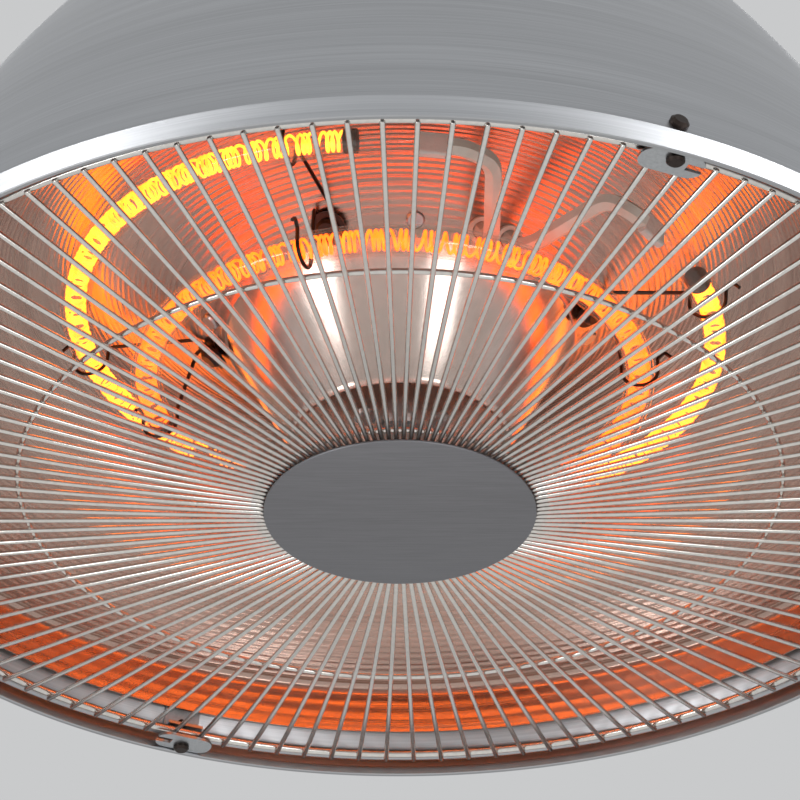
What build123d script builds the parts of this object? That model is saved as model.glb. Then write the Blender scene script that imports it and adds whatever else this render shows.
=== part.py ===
from build123d import *
from math import acos, asin, atan2, cos, degrees, pi, radians, sin, sqrt, tan
import os

# Hanging electric patio heater: a spun aluminium shade with a trough reflector,
# two ring-shaped quartz heat lamps held by spring wire clips, a wire guard,
# a vented top cap with the terminals, and an eye, link and snap hook to hang it by.
# Millimetres, +Z up. The origin is where the snap hook's top bow bears on its support.
# Heights in the values below are counted up from the lower edge of the shade.
# Azimuths are in degrees, from the front (-Y) towards the right (+X).

os.makedirs("parts", exist_ok=True)

# Shade
rim_radius = 212.5
skirt_height = 8.0
skirt_step = 0.9
skirt_step_rise = 0.6
hem_height = 3.5
hem_depth = 0.9
shade_sheet = 1.0
wall_foot_lean = 19.3
wall_straight_top = 22.0
shoulder_radius = 143.0
shoulder_height = 148.0
crown_radius = 62.0
crown_hole_radius = 24.0

# Reflector: a trough of circular section with an upright outer flange
reflector_sheet = 0.6
trough_radius = 86.0
trough_centre_radius = 119.5
trough_centre_height = -1.5
dish_outer_radius = 197.6
dish_inner_radius = 62.0
bead_depth = 1.6
flange_radius = 201.5
flange_top_height = 29.5
flange_foot_height = 14.0

# Central cone of the reflector, with a recessed floor
cone_lap_outer_radius = 74.0
cone_lap_inner_radius = 61.2
cone_foot_radius = 38.2
cone_foot_height = 19.0
cone_lip_width = 2.0
cone_floor_height = 24.0
cone_screw_circle = 15.0
cone_screw_radius = 2.0
cone_screw_count = 3
cone_screw_azimuth = -54.0

# Fixings on the ring where the dish and the cone overlap
fixing_circle = 67.0
rivet_count = 4
rivet_azimuth = 4.5
rivet_radius = 1.6
rivet_head_radius = 3.2
rivet_head_height = 1.3

# Heat lamps: quartz tubes bent to rings, each with its own place and tip
tube_radius = 5.5
tube_wall = 1.0
outer_ring_radius = 113.4
outer_ring_height = 64.6
outer_ring_shift = -2.0
outer_ring_tip = 4.0
outer_glass_start = 53.0
outer_glass_arc = 310.5
outer_coil_margin_start = 15.5
outer_coil_margin_end = 12.0
inner_ring_radius = 86.7
inner_ring_height = 43.8
inner_ring_shift = -2.4
inner_ring_tip = 0.0
inner_glass_start = -125.0
inner_glass_arc = 300.0
inner_coil_margin_start = 19.0
inner_coil_margin_end = 22.0
seal_disc_radius = 4.2
seal_disc_length = 4.5
coil_radius = 3.85
coil_sides = 8
pinch_length = 11.0
pinch_height = 9.0
pinch_thickness = 3.4

# Sleeved leads from the lamps through the reflector
sleeve_radius = 3.2
sleeve_rise = 22.0
sleeve_drop = 13.0
sleeve_lead_in = 5.0
grommet_bore_clearance = 0.2
grommet_wall = 1.0
grommet_collar = 0.5
grommet_collar_height = 1.2
lead_hole_azimuths = (24.5, 33.5, 211.0, 200.0)
lead_wire_radius = 1.3
lead_wire_clearance = 0.6
wire_lead_in = 6.0
wire_turn_height = 104.0
wire_last_run = 3.0
largest_bend = 12.0
wire_sides = 6

# Spring wire clips that hold the tubes, each row: screw, outer arm, inner arm azimuth
clip_stations = (
    (-21.0, -18.0, -20.0),
    (-102.0, -104.0, -106.5),
    (79.0, 74.0, 84.5),
    (167.0, 164.0, 170.5),
)
clip_wire_radius = 0.7
clip_tube_clearance = 0.2
clip_wire_lift = 1.3
clip_straight = 8.5
clip_arm_rise = 4.5
clip_hook_width = 2.4
clip_screw_radius = 1.9
clip_screw_head_radius = 4.0
clip_screw_head_height = 2.4
clip_washer_radius = 6.2
clip_washer_thickness = 0.8
clip_nut_height = 3.2
clip_nut_radius = 4.0

# Guard
guard_wire_count = 120
guard_wire_radius = 0.9
guard_wire_start_azimuth = 1.5
guard_wire_inner_radius = 43.0
guard_wire_outer_radius = 205.5
guard_hoop_radius = 204.0
guard_hoop_height = 5.5
guard_hoop_wire_radius = 1.5
guard_mid_ring_radius = 131.8
guard_mid_ring_wire_radius = 1.0
guard_inner_ring_radius = 48.6
guard_inner_ring_wire_radius = 0.9
guard_weld_depth = 0.25
guard_disc_radius = 47.0
guard_disc_height = -10.6
guard_disc_thickness = 1.2
guard_clip_azimuths = (24.0, 114.0, 204.0, 294.0)
guard_clip_length = 22.0
guard_clip_thickness = 1.1
guard_clip_inner_radius = 199.6
guard_clip_outer_radius = 210.2
guard_clip_gap = 0.02
guard_clip_fork_width = 3.2
guard_clip_fork_depth = 6.0
guard_clip_screw_circle = 207.4
guard_clip_screw_radius = 1.4
guard_clip_head_radius = 3.0
guard_clip_head_height = 1.8
bracket_thickness = 1.2
bracket_width = 14.0
bracket_height = 9.0
bracket_gap = 0.3
bracket_hoop_gap = 0.8
bracket_inner_radius = 202.8
shade_screw_height = 12.2
shade_screw_radius = 1.6
shade_screw_head_radius = 3.2
shade_screw_head_height = 2.2

# Heat shield above the reflector
shield_height = 108.0
shield_radius = 126.0
shield_edge_radius = 134.0
shield_edge_drop = 8.0
shield_hole_radius = 27.0
shield_post_count = 3
shield_post_radius = 3.5
shield_post_azimuth = 60.0

# Centre rod and the crown plate
rod_radius = 4.0
rod_clearance = 0.3
spacer_tube_radius = 6.5
nut_across_flats = 13.0
nut_height = 6.5
washer_radius = 9.0
washer_thickness = 1.6
rod_foot_length = 3.0
crown_plate_radius = 44.0
crown_plate_thickness = 2.0
crown_screw_circle = 34.0
crown_screw_radius = 2.0
crown_screw_head_radius = 3.8
crown_screw_head_height = 2.4
crown_screw_count = 3
crown_screw_azimuth = 20.0

# Terminals on the crown plate
terminal_length = 30.0
terminal_depth = 15.0
terminal_height = 15.0
terminal_front = 19.0
terminal_wire_height = 8.0
terminal_wire_places = (-10.0, -3.6, 3.6, 10.0)
terminal_screw_radius = 1.8
cutout_radius = 8.0
cutout_height = 7.0
cutout_flange = 1.0
cutout_place = (-27.0, -12.0)
earth_screw_place = (26.0, -13.0)
earth_screw_radius = 2.0
earth_screw_head_radius = 4.5
earth_screw_head_height = 2.5

# Top cap
cap_foot_radius = 56.0
cap_shoulder_radius = 52.0
cap_height = 43.0
cap_corner_radius = 12.0
cap_sheet = 0.8
vent_count = 24
vent_width = 3.0
vent_height = 11.0
vent_foot_height = 14.0

# Cable gland in the cap's roof, for a round cord
gland_circle = 27.0
gland_bore_radius = 4.0
gland_thread_radius = 7.8
gland_hex_across_flats = 20.0
gland_hex_height = 5.0
gland_dome_radius = 8.6
gland_dome_height = 13.0
gland_tail_length = 9.0
gland_nut_across_flats = 20.0
gland_nut_height = 4.0
gland_seal_wall = 1.6

# Eye, link and snap hook
eye_collar_radius = 10.0
eye_collar_height = 8.0
eye_ring_radius = 16.0
eye_wire_radius = 4.0
link_wire_radius = 3.0
link_inner_width = 14.0
link_inner_length = 34.0
hook_wire_radius = 3.5
hook_half_width = 12.0
hook_inner_length = 50.0
running_gap = 0.3
gate_radius = 3.0
gate_knuckle_radius = 3.4
gate_stub_length = 5.0
gate_length = 20.0
gate_tongue_thickness = 2.4
gate_tongue_radius = 2.6
gate_pin_radius = 1.2
gate_pin_clearance = 0.05
gate_nose_gap = 0.4
gate_shoulder_gap = 0.5
gate_slot_clearance = 0.15

# Heights that follow from the sizes above
wall_foot_radius = rim_radius - skirt_step
wall_foot_height = skirt_height + skirt_step_rise
wall_straight_radius = wall_foot_radius - (wall_straight_top - wall_foot_height) * tan(radians(wall_foot_lean))
wall_chord_lean = degrees(
    atan2(wall_straight_radius - shoulder_radius, shoulder_height - wall_straight_top)
)
shoulder_lean = 2 * wall_chord_lean - wall_foot_lean
shoulder_arc_radius = (shoulder_radius - crown_radius) / cos(radians(shoulder_lean))
crown_height = shoulder_height + shoulder_arc_radius * (1 - sin(radians(shoulder_lean)))
plate_top = crown_height + crown_plate_thickness
cap_top = crown_height + cap_height
eye_base = cap_top + washer_thickness
eye_centre = eye_base + eye_collar_height + eye_ring_radius - eye_wire_radius
link_bottom_wire = eye_centre + eye_ring_radius - eye_wire_radius - running_gap - link_wire_radius
link_top_wire = link_bottom_wire + link_inner_length + 2 * link_wire_radius
hook_bottom_wire = link_top_wire - link_wire_radius - running_gap - hook_wire_radius
hook_top_wire = hook_bottom_wire + hook_inner_length + 2 * hook_wire_radius
hang_height = hook_top_wire - hook_wire_radius
hook_lower_bend = hook_bottom_wire + hook_half_width
hook_upper_bend = hook_top_wire - hook_half_width
tube_bore_radius = tube_radius - tube_wall


def level(height):
    """Horizontal plane at a height above the rim."""
    return Plane.XY.offset(height - hang_height)


def around(base, azimuth):
    """Upright section plane of a ring: x points outwards at the azimuth, y along the ring's axis."""
    turn = radians(azimuth - 90)
    outward = base.x_dir * cos(turn) + base.y_dir * sin(turn)
    return Plane(origin=base.origin, x_dir=outward, z_dir=outward.cross(base.z_dir))


rim = level(0)
section = around(rim, 90)


def on_ring(radius, azimuth, height):
    """Point at a radius, azimuth and height above the rim."""
    return around(rim, azimuth).from_local_coords(Vector(radius, height, 0))


def lamp_plane(height, shift, tip):
    """Plane of a lamp's ring, tipped down towards the right."""
    return Plane(
        origin=(shift, 0, height - hang_height),
        x_dir=(cos(radians(tip)), 0, -sin(radians(tip))),
        z_dir=(sin(radians(tip)), 0, cos(radians(tip))),
    )


outer_lamp = lamp_plane(outer_ring_height, outer_ring_shift, outer_ring_tip)
inner_lamp = lamp_plane(inner_ring_height, inner_ring_shift, inner_ring_tip)


def dish_angle(radius):
    """Angle on the trough's circle where the dish has this radius."""
    return degrees(acos((radius - trough_centre_radius) / trough_radius))


def dish_height(radius):
    """Height of the dish's lower face at a radius."""
    return trough_centre_height + trough_radius * sin(radians(dish_angle(radius)))


def dish_plane(azimuth, lift=0.0):
    """Plane on the dish at the fixing circle, facing down at the lamps; lift moves it up and away."""
    angle = radians(dish_angle(fixing_circle))
    base = around(rim, azimuth)
    reach = trough_radius + lift
    foot = Vector(trough_centre_radius + reach * cos(angle), trough_centre_height + reach * sin(angle), 0)
    inward = Vector(-cos(angle), -sin(angle), 0)
    face = base.from_local_coords(inward) - base.from_local_coords(Vector(0, 0, 0))
    side = base.z_dir
    return Plane(origin=base.from_local_coords(foot), x_dir=side, z_dir=face)


def seat_lift(radius):
    """How far a flat round face of this radius stands off the hollow trough to clear it."""
    return radius**2 / (2 * trough_radius) + 0.02


def bend_radii(points):
    """Largest bends that the runs leave room for, one for each corner."""
    radii = []
    for before, corner, after in zip(points, points[1:], points[2:]):
        shorter = min((corner - before).length, (after - corner).length)
        turn = radians((corner - before).get_angle(after - corner))
        radii.append(min(0.45 * shorter / tan(turn / 2), largest_bend))
    return radii


def rod_along(points, radii, radius):
    """Round wire or sleeve along straight runs joined by arcs."""
    with BuildPart() as piece:
        with BuildLine() as route:
            FilletPolyline(*points, radius=radii)
        with BuildSketch(Plane(origin=route.line @ 0, z_dir=route.line % 0)):
            RegularPolygon(radius, wire_sides)
        sweep(path=route.line)
    return piece.part


def screw_on(plane, shank_radius, shank_length, head_radius, head_height, seat=0.0):
    """Pan head screw: the head stands on the plane's front, the shank goes in behind it."""
    with BuildPart() as screw:
        with BuildSketch(plane.offset(seat)):
            Circle(head_radius)
        extrude(amount=head_height)
        chamfer(screw.faces().sort_by(Axis(plane.origin, plane.z_dir))[-1].edges(), head_height * 0.45)
        with BuildSketch(plane.offset(seat)):
            Circle(shank_radius)
        extrude(amount=-shank_length - seat)
    return screw.part


def hex_nut(plane, across_flats, height, bore):
    """Hexagon nut standing on the plane."""
    with BuildPart() as nut:
        with BuildSketch(plane):
            RegularPolygon(across_flats / 2, 6, major_radius=False)
            Circle(bore, mode=Mode.SUBTRACT)
        extrude(amount=height)
    return nut.part


def save(piece, name):
    """Label a finished piece and write it."""
    piece.part.label = name
    export_step(piece.part, f"parts/{name}.step")


def wall_normal_plane(azimuth, height):
    """Plane on the shade's outer wall, facing out square to it, at a height on the straight foot."""
    lean = radians(wall_foot_lean)
    base = around(rim, azimuth)
    reach = wall_foot_radius - (height - wall_foot_height) * tan(lean)
    foot = base.from_local_coords(Vector(reach, height, 0))
    face = base.from_local_coords(Vector(cos(lean), sin(lean), 0)) - base.from_local_coords(Vector(0, 0, 0))
    return Plane(origin=foot, x_dir=base.z_dir, z_dir=face)


# Outer shade, spun from one sheet, with a proud skirt and a hem at its foot
with BuildPart() as outer_shade:
    with BuildSketch(section):
        with BuildLine():
            skirt = Polyline(
                (rim_radius, 0),
                (rim_radius, skirt_height),
                (wall_foot_radius, wall_foot_height),
                (wall_straight_radius, wall_straight_top),
            )
            wall = TangentArc(
                skirt @ 1,
                (shoulder_radius, shoulder_height),
                tangent=(-sin(radians(wall_foot_lean)), cos(radians(wall_foot_lean))),
            )
            shoulder = TangentArc(wall @ 1, (crown_radius, crown_height), tangent=wall % 1)
            Line(shoulder @ 1, (crown_hole_radius, crown_height))
            offset(amount=shade_sheet, side=Side.LEFT)
        make_face()
        with Locations((rim_radius - shade_sheet - hem_depth, 0)):
            Rectangle(hem_depth, hem_height, align=(Align.MIN, Align.MIN))
    revolve(axis=Axis.Z)
    for azimuth in guard_clip_azimuths:
        with BuildSketch(wall_normal_plane(azimuth, shade_screw_height)):
            Circle(shade_screw_radius + rod_clearance)
        extrude(amount=3 * shade_sheet, both=True, mode=Mode.SUBTRACT)
    for index in range(crown_screw_count):
        azimuth = crown_screw_azimuth + index * 360 / crown_screw_count
        with BuildSketch(Plane(on_ring(crown_screw_circle, azimuth, crown_height))):
            Circle(crown_screw_radius + rod_clearance)
        extrude(amount=3 * shade_sheet, both=True, mode=Mode.SUBTRACT)
save(outer_shade, "outer_shade")


# Reflector dish: trough, stiffening bead and upright flange, spun from one sheet
dish_outer_height = dish_height(dish_outer_radius)
bead_middle = Vector(
    (dish_outer_radius + flange_radius) / 2 - bead_depth * 0.79,
    (dish_outer_height + flange_top_height) / 2 - bead_depth * 0.61,
)
with BuildPart() as reflector:
    with BuildSketch(section):
        with BuildLine():
            Line((flange_radius, flange_foot_height), (flange_radius, flange_top_height))
            ThreePointArc(
                (flange_radius, flange_top_height),
                bead_middle,
                (dish_outer_radius, dish_outer_height),
            )
            CenterArc(
                (trough_centre_radius, trough_centre_height),
                trough_radius,
                dish_angle(dish_outer_radius),
                dish_angle(dish_inner_radius) - dish_angle(dish_outer_radius),
            )
            offset(amount=reflector_sheet, side=Side.RIGHT)
        make_face()
    revolve(axis=Axis.Z)
    for azimuth in lead_hole_azimuths:
        with BuildSketch(dish_plane(azimuth)):
            Circle(sleeve_radius + grommet_bore_clearance + grommet_wall)
        extrude(amount=4 * reflector_sheet, both=True, mode=Mode.SUBTRACT)
    for screw_azimuth, outer_azimuth, inner_azimuth in clip_stations:
        with BuildSketch(dish_plane(screw_azimuth)):
            Circle(clip_screw_radius)
        extrude(amount=4 * reflector_sheet, both=True, mode=Mode.SUBTRACT)
    for index in range(rivet_count):
        with BuildSketch(dish_plane(rivet_azimuth + index * 360 / rivet_count)):
            Circle(rivet_radius)
        extrude(amount=4 * reflector_sheet, both=True, mode=Mode.SUBTRACT)
save(reflector, "reflector")


# Reflector cone: its collar laps the dish from above, its foot turns in to a recessed floor
lap_radius = trough_radius + reflector_sheet
lap_start = degrees(acos((cone_lap_outer_radius - trough_centre_radius) / lap_radius))
lap_end = degrees(acos((cone_lap_inner_radius - trough_centre_radius) / lap_radius))
with BuildPart() as reflector_cone:
    with BuildSketch(section):
        with BuildLine():
            lap = CenterArc(
                (trough_centre_radius, trough_centre_height),
                lap_radius,
                lap_start,
                lap_end - lap_start,
            )
            Polyline(
                lap @ 1,
                (cone_foot_radius, cone_foot_height),
                (cone_foot_radius - cone_lip_width, cone_foot_height),
                (cone_foot_radius - cone_lip_width, cone_floor_height),
                (rod_radius + rod_clearance, cone_floor_height),
            )
            offset(amount=reflector_sheet, side=Side.RIGHT)
        make_face()
    revolve(axis=Axis.Z)
    for azimuth in lead_hole_azimuths:
        with BuildSketch(dish_plane(azimuth)):
            Circle(sleeve_radius + grommet_bore_clearance + grommet_wall)
        extrude(amount=4 * reflector_sheet, both=True, mode=Mode.SUBTRACT)
    for screw_azimuth, outer_azimuth, inner_azimuth in clip_stations:
        with BuildSketch(dish_plane(screw_azimuth)):
            Circle(clip_screw_radius)
        extrude(amount=4 * reflector_sheet, both=True, mode=Mode.SUBTRACT)
    for index in range(rivet_count):
        with BuildSketch(dish_plane(rivet_azimuth + index * 360 / rivet_count)):
            Circle(rivet_radius)
        extrude(amount=4 * reflector_sheet, both=True, mode=Mode.SUBTRACT)
    for index in range(cone_screw_count):
        azimuth = cone_screw_azimuth + index * 360 / cone_screw_count
        with BuildSketch(Plane(on_ring(cone_screw_circle, azimuth, cone_floor_height))):
            Circle(cone_screw_radius)
        extrude(amount=4 * reflector_sheet, both=True, mode=Mode.SUBTRACT)
save(reflector_cone, "reflector_cone")


# Rivets that join the dish and the cone
with BuildPart() as cone_rivets:
    for index in range(rivet_count):
        face = dish_plane(rivet_azimuth + index * 360 / rivet_count)
        lift = seat_lift(rivet_head_radius)
        tail = 2 * reflector_sheet + lift
        add(screw_on(face, rivet_radius, tail, rivet_head_radius, rivet_head_height, lift))
        with BuildSketch(face.offset(-tail)):
            Circle(rivet_head_radius * 0.8)
        extrude(amount=-rivet_head_height * 0.7)
save(cone_rivets, "cone_rivets")


# Screws and a small plate that stiffen the cone's floor
stiffener_plate_thickness = 1.5
stiffener_plate_radius = 24.0
floor_top = cone_floor_height + reflector_sheet
with BuildPart() as cone_floor_plate:
    with BuildSketch(level(floor_top)):
        Circle(stiffener_plate_radius)
        Circle(rod_radius + rod_clearance, mode=Mode.SUBTRACT)
        with PolarLocations(cone_screw_circle, cone_screw_count, cone_screw_azimuth - 90):
            Circle(cone_screw_radius, mode=Mode.SUBTRACT)
    extrude(amount=stiffener_plate_thickness)
save(cone_floor_plate, "cone_floor_plate")

with BuildPart() as cone_screws:
    for index in range(cone_screw_count):
        azimuth = cone_screw_azimuth + index * 360 / cone_screw_count
        face = Plane(on_ring(cone_screw_circle, azimuth, cone_floor_height), z_dir=(0, 0, -1))
        stack = reflector_sheet + stiffener_plate_thickness
        add(screw_on(face, cone_screw_radius, stack + 1, cone_screw_radius * 1.9, cone_screw_radius * 0.9))
save(cone_screws, "cone_screws")


# Heat shield over the reflector, on three posts
post_foot = trough_centre_height + trough_radius + reflector_sheet
with BuildPart() as heat_shield:
    with BuildSketch(section):
        with BuildLine():
            Polyline(
                (shield_hole_radius, shield_height),
                (shield_radius, shield_height),
                (shield_edge_radius, shield_height - shield_edge_drop),
            )
            offset(amount=reflector_sheet, side=Side.LEFT)
        make_face()
    revolve(axis=Axis.Z)
save(heat_shield, "heat_shield")

with BuildPart() as shield_posts:
    with BuildSketch(level(post_foot)):
        with PolarLocations(trough_centre_radius, shield_post_count, shield_post_azimuth):
            Circle(shield_post_radius)
    extrude(amount=shield_height - post_foot)
save(shield_posts, "shield_posts")


def pinch_block(lamp, ring_radius, azimuth, direction):
    """Flat pinched glass end, running on from the tube's end along the ring."""
    face = around(lamp, azimuth)
    with BuildPart() as pinch:
        with BuildSketch(Plane(
            origin=face.from_local_coords(Vector(ring_radius, 0, 0)),
            x_dir=face.x_dir,
            z_dir=face.z_dir * -direction,
        )):
            RectangleRounded(pinch_thickness, pinch_height, pinch_thickness * 0.3)
        extrude(amount=pinch_length)
    return pinch.part


def lamp_tube(lamp, ring_radius, start, arc):
    """Quartz tube bent round the ring from the start azimuth, open for the coil inside."""
    face = around(lamp, start)
    with BuildPart() as tube:
        with BuildSketch(face):
            with Locations((ring_radius, 0)):
                Circle(tube_radius)
                Circle(tube_bore_radius, mode=Mode.SUBTRACT)
        revolve(axis=Axis(lamp.origin, lamp.z_dir), revolution_arc=arc)
    return tube.part


def seal_disc(lamp, ring_radius, azimuth):
    """Dark support disc that holds the coil's end in the bore."""
    face = around(lamp, azimuth)
    with BuildPart() as disc:
        with BuildSketch(Plane(
            origin=face.from_local_coords(Vector(ring_radius, 0, 0)),
            x_dir=face.x_dir,
            z_dir=face.z_dir,
        )):
            Circle(seal_disc_radius)
        extrude(amount=seal_disc_length / 2, both=True)
    return disc.part


def filament(lamp, ring_radius, start, end):
    """Outer shape of the glowing coil, one closed ring segment inside the bore."""
    face = around(lamp, start)
    with BuildPart() as coil:
        with BuildSketch(face):
            with Locations((ring_radius, 0)):
                RegularPolygon(coil_radius, coil_sides)
        revolve(axis=Axis(lamp.origin, lamp.z_dir), revolution_arc=end - start)
    return coil.part


# Outer and inner lamps: glass, pinched ends, support discs and coil
lamps = (
    (
        "outer",
        outer_lamp,
        outer_ring_radius,
        outer_glass_start,
        outer_glass_arc,
        outer_coil_margin_start,
        outer_coil_margin_end,
    ),
    (
        "inner",
        inner_lamp,
        inner_ring_radius,
        inner_glass_start,
        inner_glass_arc,
        inner_coil_margin_start,
        inner_coil_margin_end,
    ),
)
for name, lamp, ring_radius, glass_start, glass_arc, start_margin, end_margin in lamps:
    coil_start = glass_start + start_margin
    coil_end = glass_start + glass_arc - end_margin
    with BuildPart() as tube_glass:
        add(lamp_tube(lamp, ring_radius, glass_start, glass_arc))
    save(tube_glass, f"{name}_tube_glass")
    with BuildPart() as tube_ends:
        add(pinch_block(lamp, ring_radius, glass_start, -1))
        add(pinch_block(lamp, ring_radius, glass_start + glass_arc, 1))
    save(tube_ends, f"{name}_tube_ends")
    disc_turn = degrees(seal_disc_length / 2 / ring_radius)
    with BuildPart() as tube_supports:
        add(seal_disc(lamp, ring_radius, coil_start - disc_turn - 0.1))
        add(seal_disc(lamp, ring_radius, coil_end + disc_turn + 0.1))
    save(tube_supports, f"{name}_tube_supports")
    with BuildPart() as coil_piece:
        add(filament(lamp, ring_radius, coil_start, coil_end))
    save(coil_piece, f"{name}_filament")


def lead_route(lead):
    """Points of a sleeve: straight out of the lamp's end, round a corner, then square through the dish."""
    lamp, ring_radius, end_azimuth, direction, corner, hole_azimuth = lead
    face = around(lamp, end_azimuth)
    start = face.from_local_coords(Vector(ring_radius, 0, 0))
    heading = face.z_dir * -direction
    hole = dish_plane(hole_azimuth)
    return [
        start + heading * pinch_length,
        start + heading * (pinch_length + sleeve_lead_in),
        on_ring(*corner),
        hole.origin + hole.z_dir * sleeve_drop,
        hole.origin - hole.z_dir * sleeve_rise,
    ]


# Leads: each row is lamp, ring radius, end of the glass, way out, corner of the sleeve, hole
outer_glass_end = outer_glass_start + outer_glass_arc
inner_glass_end = inner_glass_start + inner_glass_arc
leads = (
    (outer_lamp, outer_ring_radius, outer_glass_end, 1, (108.0, 16.8, 64.0), lead_hole_azimuths[0]),
    (outer_lamp, outer_ring_radius, outer_glass_start, -1, (106.5, 41.2, 65.5), lead_hole_azimuths[1]),
    (inner_lamp, inner_ring_radius, inner_glass_start, -1, (84.5, 219.5, 46.0), lead_hole_azimuths[2]),
    (inner_lamp, inner_ring_radius, inner_glass_end, 1, (84.5, 190.5, 46.0), lead_hole_azimuths[3]),
)
with BuildPart() as lead_sleeves:
    for lead in leads:
        route = lead_route(lead)
        add(rod_along(route, bend_radii(route), sleeve_radius))
save(lead_sleeves, "lead_sleeves")


# Grommets that line the holes round the sleeves
grommet_outer_radius = sleeve_radius + grommet_bore_clearance + grommet_wall
grommet_collar_radius = grommet_outer_radius + grommet_collar
with BuildPart() as lead_grommets:
    for azimuth in lead_hole_azimuths:
        face = dish_plane(azimuth)
        lift = seat_lift(grommet_collar_radius)
        back = 2 * reflector_sheet + lift
        with BuildSketch(face.offset(lift)):
            Circle(grommet_collar_radius)
        extrude(amount=grommet_collar_height)
        with BuildSketch(face.offset(lift)):
            Circle(grommet_outer_radius)
        extrude(amount=-lift - back)
        with BuildSketch(face.offset(-back)):
            Circle(grommet_collar_radius)
        extrude(amount=-grommet_collar_height)
        with BuildSketch(face):
            Circle(sleeve_radius + grommet_bore_clearance)
        extrude(amount=back + 2 * grommet_collar_height, both=True, mode=Mode.SUBTRACT)
save(lead_grommets, "lead_grommets")


# Lead wires, from the sleeves up past the spacer tube to the terminals
wire_terminal_height = plate_top + terminal_wire_height
wire_holes = ((15.0, 290.0), (15.0, 80.0), (14.4, 214.0), (15.0, 146.0))
wire_terminals = (0, 3, 1, 2)
with BuildPart() as lead_wires:
    for lead, (hole_radius, hole_azimuth), terminal in zip(leads, wire_holes, wire_terminals):
        sleeve_end = lead_route(lead)[-1]
        heading = dish_plane(lead[-1]).z_dir * -1
        front = Vector(
            terminal_wire_places[terminal],
            terminal_front,
            wire_terminal_height - hang_height,
        )
        route = [
            sleeve_end,
            sleeve_end + heading * wire_lead_in,
            on_ring(hole_radius + 3, hole_azimuth, wire_turn_height),
            on_ring(hole_radius, hole_azimuth, crown_height - 2 * crown_plate_thickness),
            on_ring(hole_radius, hole_azimuth, wire_terminal_height),
            front - Vector(0, wire_last_run, 0),
            front,
        ]
        add(rod_along(route, bend_radii(route), lead_wire_radius))
save(lead_wires, "lead_wires")


def clip_arm(lamp, ring_radius, azimuth):
    """Corners and bends of one spring arm: down inside the tube, under it, up, and a small hook."""
    face = around(lamp, azimuth)
    reach = tube_radius + clip_wire_radius + clip_tube_clearance
    outline = (
        (-reach, clip_arm_rise, 2.0),
        (-reach, -reach, 0.98 * reach),
        (reach, -reach, 0.98 * reach),
        (reach, clip_arm_rise, 1.2),
        (reach + clip_hook_width, clip_arm_rise + clip_hook_width, 1.1),
        (reach + 2 * clip_hook_width, clip_arm_rise, 0),
    )
    return [
        (face.from_local_coords(Vector(ring_radius + across, up, 0)), bend)
        for across, up, bend in outline
    ]


def clip_wire(screw_azimuth, outer_azimuth, inner_azimuth):
    """One spring wire: outer arm, a turn round the screw, inner arm."""
    face = dish_plane(screw_azimuth)
    side = -1 if outer_azimuth > inner_azimuth else 1
    across = clip_screw_radius + clip_wire_radius + 0.1
    lift = clip_wire_lift
    round_screw = [
        (face.from_local_coords(Vector(side * across, -clip_straight, lift)), 2.0),
        (face.from_local_coords(Vector(side * across, across, lift)), 0.95 * across),
        (face.from_local_coords(Vector(-side * across, across, lift)), 0.95 * across),
        (face.from_local_coords(Vector(-side * across, -clip_straight, lift)), 2.0),
    ]
    outer_arm = clip_arm(outer_lamp, outer_ring_radius, outer_azimuth)
    inner_arm = clip_arm(inner_lamp, inner_ring_radius, inner_azimuth)
    stops = outer_arm[::-1] + round_screw + inner_arm
    points = [point for point, bend in stops]
    bends = [bend for point, bend in stops][1:-1]
    return rod_along(points, bends, clip_wire_radius)


# Spring wire clips, their washers, screws and nuts
with BuildPart() as tube_clips:
    for screw_azimuth, outer_azimuth, inner_azimuth in clip_stations:
        add(clip_wire(screw_azimuth, outer_azimuth, inner_azimuth))
save(tube_clips, "tube_clips")

washer_lift = clip_wire_lift + clip_wire_radius
with BuildPart() as clip_washers:
    for screw_azimuth, outer_azimuth, inner_azimuth in clip_stations:
        with BuildSketch(dish_plane(screw_azimuth, -washer_lift)):
            Circle(clip_washer_radius)
            Circle(clip_screw_radius, mode=Mode.SUBTRACT)
        extrude(amount=clip_washer_thickness)
save(clip_washers, "clip_washers")

head_seat = washer_lift + clip_washer_thickness
nut_seat = 2 * reflector_sheet + seat_lift(clip_nut_radius)
with BuildPart() as clip_screws:
    for screw_azimuth, outer_azimuth, inner_azimuth in clip_stations:
        add(screw_on(
            dish_plane(screw_azimuth),
            clip_screw_radius,
            nut_seat + clip_nut_height + 1,
            clip_screw_head_radius,
            clip_screw_head_height,
            head_seat,
        ))
save(clip_screws, "clip_screws")

with BuildPart() as clip_nuts:
    for screw_azimuth, outer_azimuth, inner_azimuth in clip_stations:
        face = dish_plane(screw_azimuth)
        back = Plane(origin=face.origin - face.z_dir * nut_seat, x_dir=face.x_dir, z_dir=face.z_dir * -1)
        add(hex_nut(back, 2 * clip_nut_radius * cos(pi / 6), clip_nut_height, clip_screw_radius))
save(clip_nuts, "clip_nuts")


# Guard: radial wires that rise from the centre disc to the hoop, with two more rings on them
wire_outer_height = guard_hoop_height - guard_hoop_wire_radius - guard_wire_radius + guard_weld_depth
wire_inner_height = guard_disc_height + guard_disc_thickness + guard_wire_radius - 2 * guard_weld_depth
wire_slope = (wire_outer_height - wire_inner_height) / (guard_hoop_radius - guard_wire_inner_radius)


def wire_height(radius):
    """Height of the middle of the guard's wires at a radius."""
    return wire_inner_height + wire_slope * (radius - guard_wire_inner_radius)


def ring_height(radius, wire_radius):
    """Height of a guard ring that is welded on top of the wires."""
    return wire_height(radius) + guard_wire_radius + wire_radius - guard_weld_depth


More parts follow.
